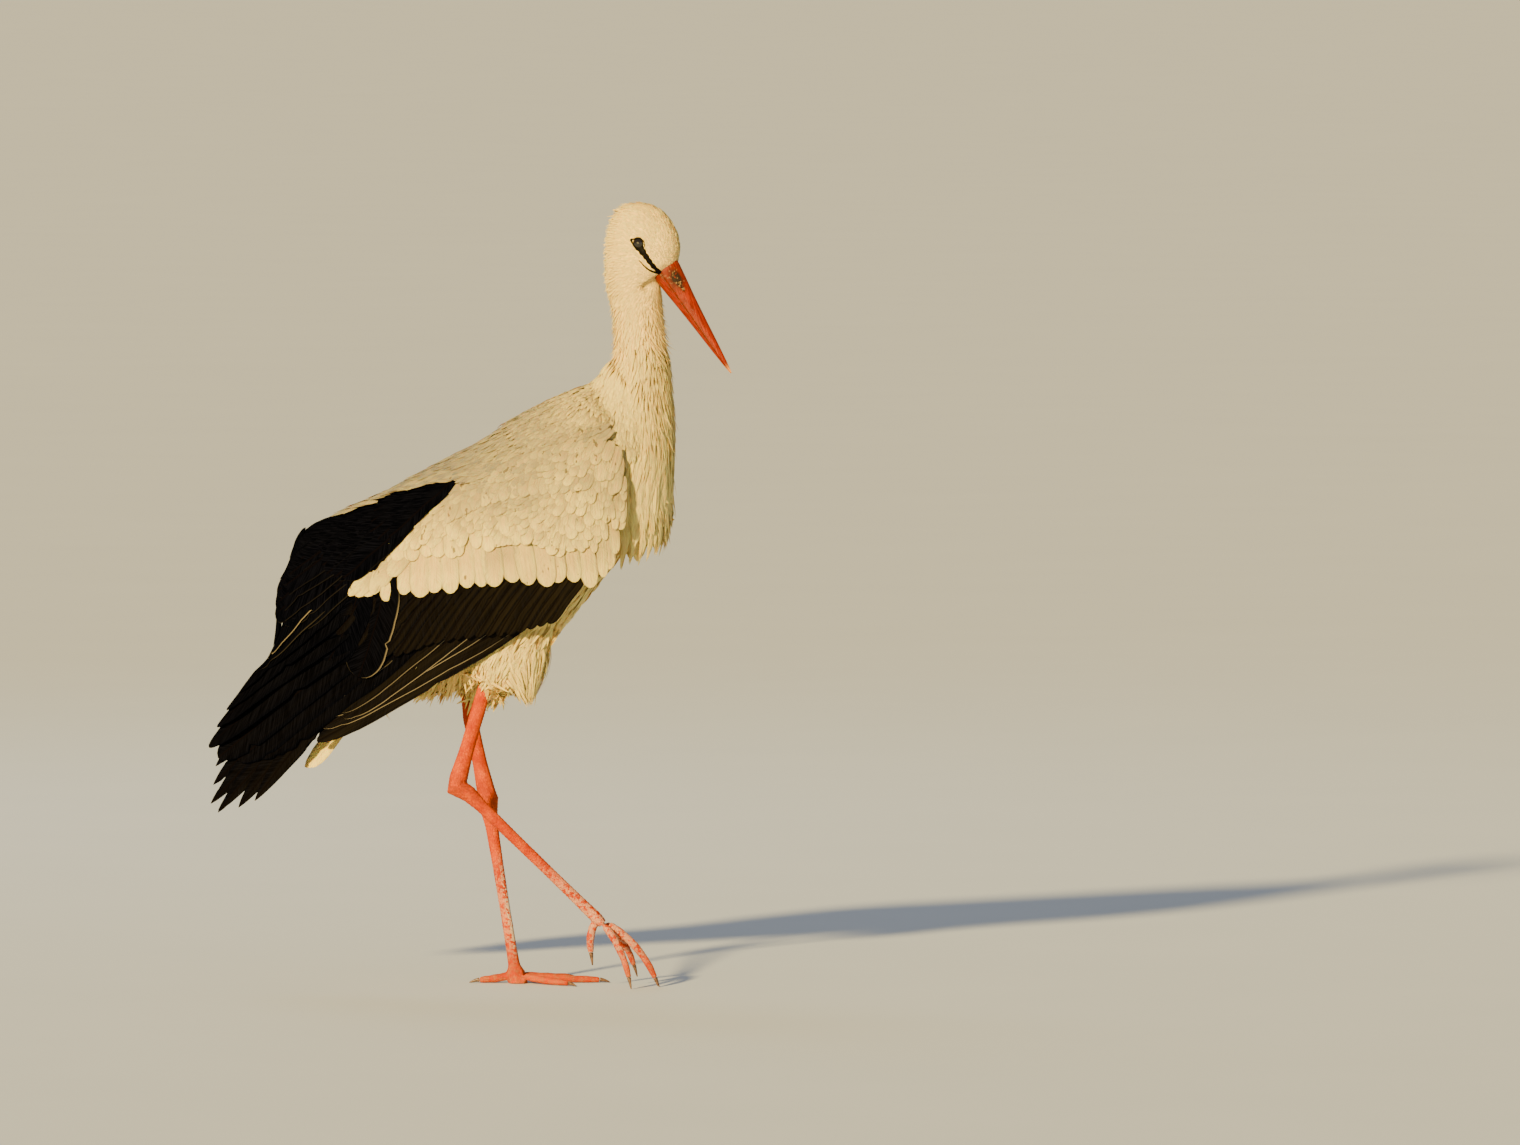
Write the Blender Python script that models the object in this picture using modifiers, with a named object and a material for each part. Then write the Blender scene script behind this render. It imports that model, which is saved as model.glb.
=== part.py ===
"""A life-size still model of a walking white stork, which stands free on its toes.

Metres, +Z up. The bird faces +X and its right side faces -Y. The root empty puts the world's origin on
the floor, under the standing foot. The trunk and the folded wings are laid out in a body frame:
`s` runs back and down along the wing from its bend at the shoulder, and `q` runs up and back, square to it.
Heights are above the floor.
"""

import math

import bmesh
import bpy
from mathutils import Matrix, Vector

# ---------------------------------------------------------------- driving dimensions
FLOOR = 0.0  # the level that the toes stand on
GAP = 0.0005  # between pieces that meet
BODY_PITCH = math.radians(37)  # how far the wing's length slopes down to the back
WING_BEND = (0.1034, 0.5335)  # x and height of the wing's bend, the origin of s and q

HEAD_YAW = math.radians(-24)  # the head looks a little to the bird's right
NECK_AXIS_X = 0.119  # the upright line that the head turns about
BILL_PITCH = math.radians(55.2)
BILL_LENGTH = 0.1335
BILL_DEPTH = 0.0335
BILL_WIDTH = 0.025
BILL_BASE = (0.0402, 0.7842)  # forward of the neck's axis, and height
GAPE_SHARE = 0.42  # the lower mandible's share of the bill's depth

EYE_RADIUS = 0.0094
EYE_PLACE = (0.0148, 0.0230, 0.8150)  # forward of the neck's axis, out to the side, height

HEART = (0.16, 0.03, 0.0)  # s, q, y of the middle of the trunk
MANTLE_THICK = 0.0058
FEATHER_THICK = 0.0026
LAYER = 0.0031  # how much deeper each group of feathers lies than the one that overlaps it
TRUNK_INSET = 0.0090  # the trunk's sides from the wings' outside
WING_FROM, WING_TO = -0.015, 0.330  # the places s between which a wing covers the trunk's side
RIDGE_TURN = 0.028  # how near the ridge the wings come to each other

WING_ROUND = 2.2  # how square the closed wings' section is near the ridge
WING_FLANK = 3  # and how upright its flank is

RING = 20  # points round the sections of the head, neck and trunk
THIGH_RING = 14
LEG_RING = 10
TOE_RING = 8
CLAW_RING = 6

# Envelope of the closed wings: s, top line, lower edge, half width, how much the flank curves in below.
ENVELOPE = [
    (-0.0437, 0.1215, 0.0150, 0.072, 0.10),
    (0.0000, 0.1330, -0.0100, 0.088, 0.12),
    (0.0450, 0.1400, -0.0500, 0.103, 0.20),
    (0.0900, 0.1445, -0.0605, 0.109, 0.28),
    (0.1500, 0.1525, -0.0590, 0.109, 0.32),
    (0.2050, 0.1610, -0.0550, 0.103, 0.32),
    (0.2700, 0.1765, -0.0470, 0.091, 0.30),
    (0.3100, 0.1800, -0.0390, 0.081, 0.26),
    (0.3360, 0.1640, -0.0350, 0.076, 0.25),
    (0.3600, 0.1510, -0.0310, 0.070, 0.24),
    (0.3800, 0.1270, -0.0290, 0.066, 0.24),
    (0.4050, 0.1010, -0.0265, 0.061, 0.23),
    (0.4480, 0.0900, -0.0250, 0.053, 0.22),
    (0.4900, 0.0775, -0.0310, 0.044, 0.20),
    (0.5300, 0.0580, -0.0310, 0.036, 0.20),
    (0.5700, 0.0320, -0.0240, 0.030, 0.20),
]

# Trunk: s, ridge, belly, half width, and how oval the belly's section is, from 0 to 1.
TRUNK = [
    (-0.0433, 0.1125, -0.0160, 0.058, 0.0),
    (0.0000, 0.1240, -0.0390, 0.069, 0.0),
    (0.0500, 0.1300, -0.0560, 0.083, 0.0),
    (0.1000, 0.1345, -0.0690, 0.090, 0.0),
    (0.1500, 0.1420, -0.0810, 0.088, 0.1),
    (0.2000, 0.1430, -0.0800, 0.078, 0.5),
    (0.2500, 0.1220, -0.0660, 0.062, 1.0),
    (0.3000, 0.0800, -0.0460, 0.045, 1.0),
    (0.3500, 0.0150, -0.0290, 0.030, 1.0),
]

# Neck below the throat: x and height of the nape's side, of the throat's side, and the half width.
NECK = [
    ((0.0900, 0.6820), (0.1570, 0.6820), 0.0300),
    ((0.0840, 0.6720), (0.1575, 0.6550), 0.0330),
    ((0.0780, 0.6650), (0.1575, 0.6280), 0.0380),
    ((0.0730, 0.6600), (0.1545, 0.6000), 0.0450),
    ((0.0700, 0.6575), (0.1495, 0.5720), 0.0530),
]
NECK_FOOT = (0.1205, -0.0140, 0.0590)  # where the neck meets the trunk: q at its back and front, half width

# Head and upper neck: height, middle and half length along the head's facing, half width, share of the yaw.
HEAD = [
    (0.8612, 0.0040, 0.0050, 0.0045, 1.0),
    (0.8585, 0.0050, 0.0170, 0.0130, 1.0),
    (0.8520, 0.0072, 0.0270, 0.0198, 1.0),
    (0.8410, 0.0090, 0.0360, 0.0255, 1.0),
    (0.8250, 0.0108, 0.0428, 0.0288, 1.0),
    (0.8080, 0.0110, 0.0450, 0.0297, 1.0),
    (0.7920, 0.0092, 0.0430, 0.0290, 1.0),
    (0.7780, 0.0020, 0.0358, 0.0278, 1.0),
    (0.7640, 0.0006, 0.0325, 0.0272, 0.9),
]
UPPER_NECK = [
    (0.7635, 0.0006, 0.0325, 0.0272, 0.9),
    (0.7400, 0.0040, 0.0310, 0.0270, 0.7),
    (0.7150, 0.0066, 0.0312, 0.0274, 0.45),
    (0.6980, 0.0074, 0.0318, 0.0282, 0.2),
    (0.6825, 0.0050, 0.0338, 0.0298, 0.0),
]

# Legs: joints as x, y, height, where the toes face in degrees, and how far in front of the ankle's middle the
# tarsus starts. The right one strides forward with its toes just down; the left one carries the weight.
LEGS = {
    "R": {
        "side": -1,
        "facing": -4,
        "lead": 0.0045,
        "hip": (0.002, -0.029, 0.408),
        "cuff": (-0.0450, -0.046, 0.3280),
        "ankle": (-0.0765, -0.048, 0.2195),
        "foot": (0.0785, -0.049, 0.0750),
    },
    "L": {
        "side": 1,
        "facing": 3,
        "lead": -0.0005,
        "hip": (-0.006, 0.029, 0.402),
        "cuff": (-0.0680, 0.046, 0.3150),
        "ankle": (-0.0430, 0.044, 0.2000),
        "foot": (-0.0125, 0.005, 0.0130),
    },
}
THIGH = [  # share of the way from hip to cuff, half depth, half width
    (0.00, 0.040, 0.0260),
    (0.35, 0.046, 0.0270),
    (0.65, 0.042, 0.0230),
    (0.86, 0.032, 0.0180),
    (1.00, 0.019, 0.0125),
]
TIBIA_RADIUS = 0.0082
# Places along the shin and the tarsus, and the share of the leg's radius there.
TIBIA = [(0.0, 0.98), (0.25, 1.0), (0.5, 0.96), (0.72, 1.00), (0.86, 1.12), (1.0, 1.25)]
TARSUS_RADIUS = 0.0062
TARSUS = [(0.075, 1.5), (0.16, 1.15), (0.40, 1.0), (0.65, 0.94), (0.86, 0.98), (0.955, 1.06)]
ANKLE_RADIUS = 0.0118
KNUCKLE = 0.0105  # from the middle of the ankle up to where the shin ends
TOES = {  # length without claw, spread from the foot's facing, radius at the root, where it starts
    "inner": (0.060, 41, 0.0037, 0.0150),
    "middle": (0.078, 1, 0.0039, 0.0150),
    "outer": (0.066, -40, 0.0037, 0.0150),
    "hind": (0.033, 183, 0.0040, 0.0060),
}
TOE_DROOP = {"inner": 30, "middle": 28, "outer": 35, "hind": 62}  # degrees, on the lifted foot
TOE_CURL = 36  # degrees more by the toe's tip
TOE_SHAPE = [1.0, 1.2, 1.12, 1.2, 1.0, 1.02, 0.76]  # pads and joints, as shares of the toe's radius
HUB_SHARE = 0.045  # of the tarsus's length, taken by the pad that the toes leave
HUBS = {  # distance along, in hub lengths, half depth, half width
    "L": [(0.05, 0.0066, 0.0066), (0.4, 0.0072, 0.0080), (1.2, 0.0108, 0.0108), (3.4, 0.0112, 0.0118)],
    "R": [(0.05, 0.0066, 0.0066), (0.5, 0.0068, 0.0078), (1.0, 0.0064, 0.0100), (1.9, 0.0050, 0.0122)],
}
CLAW_LENGTH = 0.011
CLAW_HOOK = 0.0028
TOE_ARCH = 0.0035  # how much higher the root of a flat toe lies

BILL_SHAPE = [  # along, depth, width, as shares of the bill's own
    (0.000, 1.00, 1.00),
    (0.120, 0.88, 0.90),
    (0.300, 0.69, 0.72),
    (0.500, 0.51, 0.54),
    (0.700, 0.345, 0.37),
    (0.860, 0.20, 0.22),
    (0.960, 0.095, 0.10),
    (1.000, 0.040, 0.045),
]

FINISHES = {  # base colour, roughness, metallic
    "plumage_white": ((0.86, 0.80, 0.66), 0.80, 0.0),
    "plumage_black": ((0.020, 0.018, 0.016), 0.55, 0.0),
    "bill": ((0.62, 0.12, 0.04), 0.40, 0.0),
    "leg": ((0.72, 0.16, 0.05), 0.50, 0.0),
    "claw": ((0.16, 0.09, 0.06), 0.40, 0.0),
    "eye": ((0.010, 0.008, 0.007), 0.08, 0.0),
}


LEFT = Vector((0, 1, 0))  # the bird's left


# ---------------------------------------------------------------- scene and small tools
def clear_scene():
    for obj in list(bpy.data.objects):
        bpy.data.objects.remove(obj)


def collection(name):
    made = bpy.data.collections.new(name)
    bpy.context.scene.collection.children.link(made)
    return made


def material(name, finish):
    colour, roughness, metallic = FINISHES[finish]
    made = bpy.data.materials.new(f"{finish}_{name}")
    made.use_nodes = True
    shader = made.node_tree.nodes["Principled BSDF"]
    shader.inputs["Base Color"].default_value = (*colour, 1.0)
    shader.inputs["Roughness"].default_value = roughness
    shader.inputs["Metallic"].default_value = metallic
    made.diffuse_color = (*colour, 1.0)
    return made


def add_object(name, bm, where, finish=None):
    """An object whose own origin is in the middle of the points, parented to the bird's root."""
    corners = [vert.co for vert in bm.verts]
    lowest = Vector(min(co[k] for co in corners) for k in range(3))
    highest = Vector(max(co[k] for co in corners) for k in range(3))
    middle = (lowest + highest) / 2
    bmesh.ops.translate(bm, vec=-middle, verts=bm.verts)
    mesh = bpy.data.meshes.new(name)
    bm.to_mesh(mesh)
    bm.free()
    mesh.shade_smooth()
    obj = bpy.data.objects.new(name, mesh)
    obj.location = middle
    obj.parent = ROOT
    where.objects.link(obj)
    if finish:
        mesh.materials.append(material(name, finish))
    return obj


def add_part(name, bm, finish):
    return add_object(name, bm, BIRD, finish)


def cut(obj, name, bm):
    """Takes the solid bm from obj, and keeps it out of the model as a cutter."""
    cutter = add_object(name, bm, CUTTERS)
    cutter.hide_render = True
    cutter.display_type = "WIRE"
    boolean = obj.modifiers.new(name, "BOOLEAN")
    boolean.operation = "DIFFERENCE"
    boolean.solver = "EXACT"
    boolean.object = cutter


def between(stations, at):
    """The stations' values at a place along them, on a smooth curve. The first value of each is its place."""
    places = [station[0] for station in stations]
    at = min(max(at, places[0]), places[-1])
    i = max(j for j in range(len(places) - 1) if places[j] <= at)
    share = (at - places[i]) / (places[i + 1] - places[i])
    found = []
    for column in range(1, len(stations[0])):
        slope = []
        for k in (i, i + 1):
            a, b = max(k - 1, 0), min(k + 1, len(places) - 1)
            slope.append((stations[b][column] - stations[a][column]) / (places[b] - places[a]))
        step = places[i + 1] - places[i]
        low, high = stations[i][column], stations[i + 1][column]
        h = share * share * (3 - 2 * share)
        found.append(
            low * (1 - h)
            + high * h
            + step * slope[0] * share * (1 - share) ** 2
            - step * slope[1] * share**2 * (1 - share)
        )
    return found


def spread(first, last, count):
    """Evenly spread values from first to last."""
    return [first + (last - first) * i / (count - 1) for i in range(count)]


def body_point(s, q, y):
    """A place in the body frame, y being to the bird's left."""
    x = WING_BEND[0] - s * math.cos(BODY_PITCH) - q * math.sin(BODY_PITCH)
    height = WING_BEND[1] - s * math.sin(BODY_PITCH) + q * math.cos(BODY_PITCH)
    return Vector((x, y, height))


def body_up():
    return (body_point(0, 1, 0) - body_point(0, 0, 0)).normalized()


def loft(rings):
    """A solid over rings of as many points each, closed at both ends by flat faces."""
    bm = bmesh.new()
    rows = [[bm.verts.new(point) for point in ring] for ring in rings]
    count = len(rows[0])
    for low, high in zip(rows, rows[1:]):
        for i in range(count):
            j = (i + 1) % count
            bm.faces.new((low[i], low[j], high[j], high[i]))
    bm.faces.new(reversed(rows[0]))
    bm.faces.new(rows[-1])
    bmesh.ops.recalc_face_normals(bm, faces=bm.faces)
    return bm


def sheet(rows):
    """An open surface over rows of as many points each."""
    bm = bmesh.new()
    rows = [[bm.verts.new(point) for point in row] for row in rows]
    for low, high in zip(rows, rows[1:]):
        for i in range(len(low) - 1):
            bm.faces.new((low[i], low[i + 1], high[i + 1], high[i]))
    return bm


def add_shell(name, bm, finish, thick):
    """An open surface given a thickness on the side that faces the bird's middle."""
    bmesh.ops.recalc_face_normals(bm, faces=bm.faces)
    heart = body_point(*HEART)
    outward = sum((f.calc_center_median() - heart).dot(f.normal) * f.calc_area() for f in bm.faces)
    if outward < 0:
        bmesh.ops.reverse_faces(bm, faces=bm.faces)
    obj = add_part(name, bm, finish)
    shell = obj.modifiers.new("thickness", "SOLIDIFY")
    shell.thickness = thick
    shell.offset = -1
    return obj


def oval(centre, up, out, half_up, half_out, count, power=2.0):
    """A ring in the plane of up and out. power over 2 makes it squarer."""
    ring = []
    for i in range(count):
        angle = 2 * math.pi * i / count
        c, s = math.cos(angle), math.sin(angle)
        along = math.copysign(abs(c) ** (2 / power), c) * half_up
        aside = math.copysign(abs(s) ** (2 / power), s) * half_out
        ring.append(centre + up * along + out * aside)
    return ring


def tube_rings(path, radii, count, flat_at=None):
    """Rings square to a path. Points under the height flat_at are raised to it, which gives a flat sole."""
    rings = []
    for i, point in enumerate(path):
        ahead = (path[min(i + 1, len(path) - 1)] - path[max(i - 1, 0)]).normalized()
        side = (LEFT - ahead * ahead.y).normalized()
        up = ahead.cross(side)
        ring = oval(point, up, side, radii[i], radii[i], count)
        if flat_at is not None:
            for p in ring:
                p.z = max(p.z, flat_at)
        rings.append(ring)
    return rings


# ---------------------------------------------------------------- base
# ---------------------------------------------------------------- head, bill and eyes
def head_point(forward, aside, height, turned=1.0):
    """A point given in the head's own frame, aside being to the bird's left."""
    turn = Matrix.Rotation(HEAD_YAW * turned, 3, "Z")
    place = turn @ Vector((forward, aside, 0))
    return Vector((NECK_AXIS_X + place.x, place.y, height))


def level_ring(height, middle, half_length, half_width, turned):
    """A level oval section of the head or the upper neck."""
    ring = []
    for i in range(RING):
        angle = 2 * math.pi * i / RING
        forward = middle + half_length * math.cos(angle)
        ring.append(head_point(forward, half_width * math.sin(angle), height, turned))
    return ring


def bill_frame():
    """The middle of the bill's base, and its directions ahead, up to the culmen and to the bird's left."""
    turn = Matrix.Rotation(HEAD_YAW, 3, "Z")
    ahead = turn @ Vector((math.cos(BILL_PITCH), 0, -math.sin(BILL_PITCH)))
    up = turn @ Vector((math.sin(BILL_PITCH), 0, math.cos(BILL_PITCH)))
    return head_point(BILL_BASE[0], 0, BILL_BASE[1]), ahead, up, up.cross(ahead)


def half_ring(centre, up, left, top, half_width, count=7):
    """A half oval: along the gape's line, then over the top, which is negative for the lower mandible."""
    ring = []
    for i in range(count):
        angle = math.pi * i / (count - 1)
        ring.append(centre + left * half_width * math.cos(angle) + up * top * math.sin(angle) ** 0.85)
    return ring


def make_mandible(name, sign):
    """sign is 1 for the upper mandible and -1 for the lower."""
    base, ahead, up, left = bill_frame()
    share = 1 - GAPE_SHARE if sign > 0 else GAPE_SHARE
    gape_line = BILL_DEPTH * (GAPE_SHARE - 0.5)
    rings = []
    for along, depth, width in BILL_SHAPE:
        drop = gape_line * (1 - along)
        centre = base + ahead * (GAP + BILL_LENGTH * along) + up * (drop + sign * GAP / 2)
        rings.append(half_ring(centre, up, left, sign * share * depth * BILL_DEPTH, width * BILL_WIDTH / 2))
    add_part(name, loft(rings), "bill")


def ball(centre, radius):
    bm = bmesh.new()
    bmesh.ops.create_uvsphere(bm, u_segments=12, v_segments=8, radius=radius)
    bmesh.ops.translate(bm, vec=centre, verts=bm.verts)
    return bm


def make_head():
    """The head, cut off flat where the bill leaves it, with a socket round each eye."""
    head = add_part("head", loft([level_ring(*row) for row in HEAD]), "plumage_white")
    base, ahead, up, left = bill_frame()
    block = bmesh.new()
    bmesh.ops.create_cube(block, size=BILL_LENGTH)
    turn = Matrix((ahead, left, up)).transposed().to_4x4()
    place = Matrix.Translation(base + ahead * BILL_LENGTH / 2)
    bmesh.ops.transform(block, matrix=place @ turn, verts=block.verts)
    cut(head, "bill_side", block)
    for label, side in (("R", -1), ("L", 1)):
        forward, aside, height = EYE_PLACE
        centre = head_point(forward, side * aside, height)
        add_part("eye_" + label, ball(centre, EYE_RADIUS), "eye")
        cut(head, "socket_" + label, ball(centre, EYE_RADIUS + GAP))
    make_mandible("bill_upper", 1)
    make_mandible("bill_lower", -1)


# ---------------------------------------------------------------- neck and breast
def neck_ring(back, front, half_width, grow):
    """An oval section of the lower neck from a point on its back to one on its front."""
    back = Vector((back[0], 0, back[1]))
    front = Vector((front[0], 0, front[1]))
    across = (front - back).normalized()
    half = (front - back).length / 2 + grow
    return oval((back + front) / 2, across, LEFT, half, half_width + grow, RING)


def neck_rings(grow=0.0):
    rings = [neck_ring(*row, grow) for row in NECK]
    back, front, half_width = NECK_FOOT
    middle = body_point(TRUNK[0][0] - GAP, (back + front) / 2, 0)
    rings.append(oval(middle, -body_up(), LEFT, (back - front) / 2 + grow, half_width + grow, RING))
    return rings


def make_neck():
    add_part("neck_upper", loft([level_ring(*row) for row in UPPER_NECK]), "plumage_white")
    add_part("neck_lower", loft(neck_rings()), "plumage_white")


# The bib of long breast plumes: height, x of its front, x of its middle line, half width.
PLUMES = [
    (0.455, 0.1450, 0.095, 0.046),
    (0.500, 0.1600, 0.100, 0.056),
    (0.545, 0.1635, 0.104, 0.062),
    (0.590, 0.1655, 0.106, 0.058),
    (0.630, 0.1645, 0.110, 0.047),
    (0.674, 0.1615, 0.118, 0.037),
]
PLUME_THICK = 0.0075
PLUME_ROWS = 6
PLUME_TIPS = 9  # pointed locks along the lower hem
PLUME_HEM = (0.474, 0.464)  # height of the hem at the breast's front and at its sides
PLUME_NOTCH = 0.014  # how much higher the hem is between two locks
PLUME_ROUND = math.radians(82)  # how far the bib goes round from the front


def make_plumes():
    columns = 2 * PLUME_TIPS + 1
    top = PLUMES[-1][0]
    rows = []
    for fall in spread(0, 1, PLUME_ROWS):
        row = []
        for j, angle in enumerate(spread(-PLUME_ROUND, PLUME_ROUND, columns)):
            hem = PLUME_HEM[0] + (PLUME_HEM[1] - PLUME_HEM[0]) * abs(math.sin(angle)) ** 3
            if j % 2 == 0:
                hem += PLUME_NOTCH
            height = top + (hem - top) * fall
            front, middle, half_width = between(PLUMES, height)
            x = middle + (front - middle) * math.cos(angle)
            row.append(Vector((x, half_width * math.sin(angle), height)))
        rows.append(row)
    bib = add_shell("breast_plumes", sheet(rows), "plumage_white", PLUME_THICK)
    cut(bib, "neck_grown", loft(neck_rings(1.5 * GAP)))
    cut(bib, "trunk_grown", loft(trunk_rings(GAP)))


# ---------------------------------------------------------------- trunk, mantle and tail
def turn_of(s, q):
    """How far round q lies on the closed wings' section at s: 0 at the ridge, 1 at the lower edge."""
    top, low, _, _ = between(ENVELOPE, s)
    return max(RIDGE_TURN, max(0.0, 1 - (q - low) / (top - low)) ** (1 / WING_ROUND))


def flank(share, half_width, tuck):
    """The half width at a share of the height from the lower edge to the ridge."""
    return half_width * max(0.0, 1 - share**WING_FLANK) ** (1 / WING_ROUND) * (1 - tuck * (1 - share) ** 2)


def envelope_at(s, turn, side):
    """A point on the closed wings' outside. side is 1 for the bird's left and -1 for its right."""
    top, low, half_width, tuck = between(ENVELOPE, s)
    share = 1 - turn**WING_ROUND
    return body_point(s, low + share * (top - low), side * flank(share, half_width, tuck))


def envelope_normal(s, turn, side):
    step = 0.004
    along = envelope_at(s + step, turn, side) - envelope_at(s - step, turn, side)
    turn = max(2 * RIDGE_TURN, turn)
    around = envelope_at(s, turn + 4 * step, side) - envelope_at(s, turn - 4 * step, side)
    return along.cross(around).normalized() * -side


def envelope_point(s, q, side, inset):
    """A point on the closed wings' outside at s and q, moved in by inset along the surface's normal."""
    turn = turn_of(s, q)
    return envelope_at(s, turn, side) - envelope_normal(s, turn, side) * inset


def side_room(s, q):
    """How far the trunk may reach to the side at s and q without touching the wing."""
    top, low, half_width, tuck = between(ENVELOPE, s)
    share = min(max((q - low) / (top - low), 0.0), 1.0)
    return max(0.0, flank(share, half_width, tuck) - TRUNK_INSET + max(0.0, low - q))


def trunk_ring(s, grow):
    """An oval kept clear of the wings at its sides, with a fuller belly."""
    top, low, half_width, roundness = between(TRUNK, s)
    middle = (top + low) / 2
    ring = []
    for i in range(RING):
        angle = 2 * math.pi * i / RING
        q = middle + ((top - low) / 2 + grow) * math.cos(angle)
        power = 2.0 if q > middle else 2.3 - 0.3 * roundness
        y = half_width * abs(math.sin(angle)) ** (2 / power)
        if WING_FROM < s < WING_TO:
            y = min(y, side_room(s, q))
        y *= 1 + grow / half_width
        ring.append(body_point(s, q, math.copysign(y, math.sin(angle))))
    return ring


def trunk_rings(grow=0.0):
    return [trunk_ring(s, grow) for s in spread(TRUNK[0][0], TRUNK[-1][0], 15)]


MANTLE_EDGE = [  # s, and the height q of the mantle's side edge
    (-0.0430, 0.0780),
    (0.0000, 0.0860),
    (0.0600, 0.1015),
    (0.1190, 0.1255),
    (0.1600, 0.1440),
    (0.2060, 0.1612),
]


def make_mantle():
    """The white feathers of the upper back, a saddle over the trunk between the wings."""
    rows = []
    for s in spread(MANTLE_EDGE[0][0], MANTLE_EDGE[-1][0], 9):
        edge = turn_of(s, between(MANTLE_EDGE, s)[0])
        rows.append([envelope_at(s, abs(a) * edge, 1 if a > 0 else -1) for a in spread(-1, 1, 13)])
    add_shell("mantle", sheet(rows), "plumage_white", MANTLE_THICK)


def make_trunk():
    add_part("trunk", loft(trunk_rings()), "plumage_white")


TAIL = [  # s, ridge, underside, half width
    (0.3505, 0.0120, -0.0280, 0.028),
    (0.3750, -0.0040, -0.0285, 0.030),
    (0.4100, -0.0190, -0.0325, 0.031),
    (0.4380, -0.0270, -0.0370, 0.026),
    (0.4550, -0.0320, -0.0370, 0.013),
]


def make_tail():
    """The closed tail under the wings."""
    rings = []
    for s, top, low, half_width in TAIL:
        centre = body_point(s, (top + low) / 2, 0)
        rings.append(oval(centre, body_up(), LEFT, (top - low) / 2, half_width, THIGH_RING, 2.4))
    add_part("tail", loft(rings), "plumage_white")


# ---------------------------------------------------------------- wings
# Each group of feathers is a sheet between an upper and a lower edge, given as s, q from the roots to the tips.
# Groups of a deeper layer lie under the others. "ends" are the feather ends from top to bottom: how far each
# reaches past the line that joins the two edges' ends. "grid" counts the points along and across.
def edge_line(points):
    """A smooth line through points, as a function of the share of its length."""
    lengths = [0.0]
    for a, b in zip(points, points[1:]):
        lengths.append(lengths[-1] + math.dist(a, b))
    rows = [(length / lengths[-1], *point) for length, point in zip(lengths, points)]
    return lambda share: between(rows, share)


FEATHER_GROUPS = {
    "wing_coverts": {
        "finish": "plumage_white",
        "upper": [
            (-0.004, 0.030),
            (0.006, 0.066),
            (0.060, 0.0935),
            (0.120, 0.1175),
            (0.200, 0.106),
            (0.292, 0.098),
        ],
        "lower": [
            (0.004, -0.006),
            (0.030, -0.034),
            (0.076, -0.0595),
            (0.0945, -0.043),
            (0.1415, -0.0048),
            (0.1995, 0.0278),
            (0.292, 0.0920),
        ],
        "layer": 0,
        "grid": (13, 8),
        "ends": [0.0] * 8,
    },
    "scapulars": {
        "finish": "plumage_black",
        "upper": [(0.128, 0.1240), (0.168, 0.1435), (0.214, 0.1650), (0.268, 0.1790), (0.300, 0.1810)],
        "lower": [(0.126, 0.1195), (0.172, 0.1140), (0.226, 0.1060), (0.296, 0.1020), (0.345, 0.0980)],
        "layer": 0,
        "grid": (9, 9),
        "ends": [0.022, 0.012, 0.022, 0.042, 0.049, 0.049, 0.040, 0.032, 0.024],
    },
    "wing_secondaries": {
        "finish": "plumage_black",
        "upper": [(0.103, -0.0440), (0.160, 0.004), (0.210, 0.036), (0.262, 0.072), (0.298, 0.096)],
        "lower": [(0.100, -0.0590), (0.150, -0.0580), (0.205, -0.0545), (0.300, -0.0405), (0.388, -0.0275)],
        "layer": 1,
        "grid": (10, 8),
        "ends": [0.000, 0.010, 0.018, 0.010, 0.014, 0.006, 0.010, 0.000],
    },
    "wing_tertials": {
        "finish": "plumage_black",
        "upper": [
            (0.262, 0.1400),
            (0.320, 0.1420),
            (0.372, 0.1160),
            (0.420, 0.0960),
            (0.460, 0.0860),
            (0.499, 0.0720),
        ],
        "lower": [(0.280, 0.0000), (0.330, -0.0100), (0.380, -0.0060), (0.430, 0.0040), (0.486, 0.0150)],
        "layer": 2,
        "grid": (10, 9),
        "ends": [0.000, 0.012, 0.022, 0.029, 0.036, 0.036, 0.030, 0.024, 0.010],
    },
    "wing_primaries": {
        "finish": "plumage_black",
        "upper": [(0.355, 0.0300), (0.420, 0.0420), (0.490, 0.0240), (0.545, 0.0060)],
        "lower": [(0.345, -0.0300), (0.398, -0.0265), (0.438, -0.0180), (0.472, -0.0250), (0.505, -0.0290)],
        "layer": 3,
        "grid": (9, 9),
        "ends": [0.010, 0.021, 0.029, 0.000, 0.000, 0.004, 0.006, 0.006, 0.006],
    },
}


def make_sheet(name, group, side):
    upper, lower = edge_line(group["upper"]), edge_line(group["lower"])
    columns, lanes = group["grid"]
    rows = []
    for along in spread(0, 1, columns):
        top, low = upper(along), lower(along)
        row = []
        for across, end in zip(spread(0, 1, lanes), group["ends"]):
            s = top[0] + (low[0] - top[0]) * across + end * along**3
            q = top[1] + (low[1] - top[1]) * across
            row.append(envelope_point(s, q, side, group["layer"] * LAYER))
        rows.append(row)
    add_shell(name, sheet(rows), group["finish"], FEATHER_THICK)


def make_wings():
    for label, side in (("R", -1), ("L", 1)):
        for name, group in FEATHER_GROUPS.items():
            make_sheet(f"{name}_{label}", group, side)


# ---------------------------------------------------------------- legs
def leg_points(leg):
    return [Vector(leg[joint]) for joint in ("hip", "cuff", "ankle", "foot")]


def widen(rings, path, depths, widths):
    """Changes round rings of those depths to those widths, along y."""
    for ring, centre, depth, width in zip(rings, path, depths, widths):
        for p in ring:
            p.y = centre.y + (p.y - centre.y) * width / depth


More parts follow.
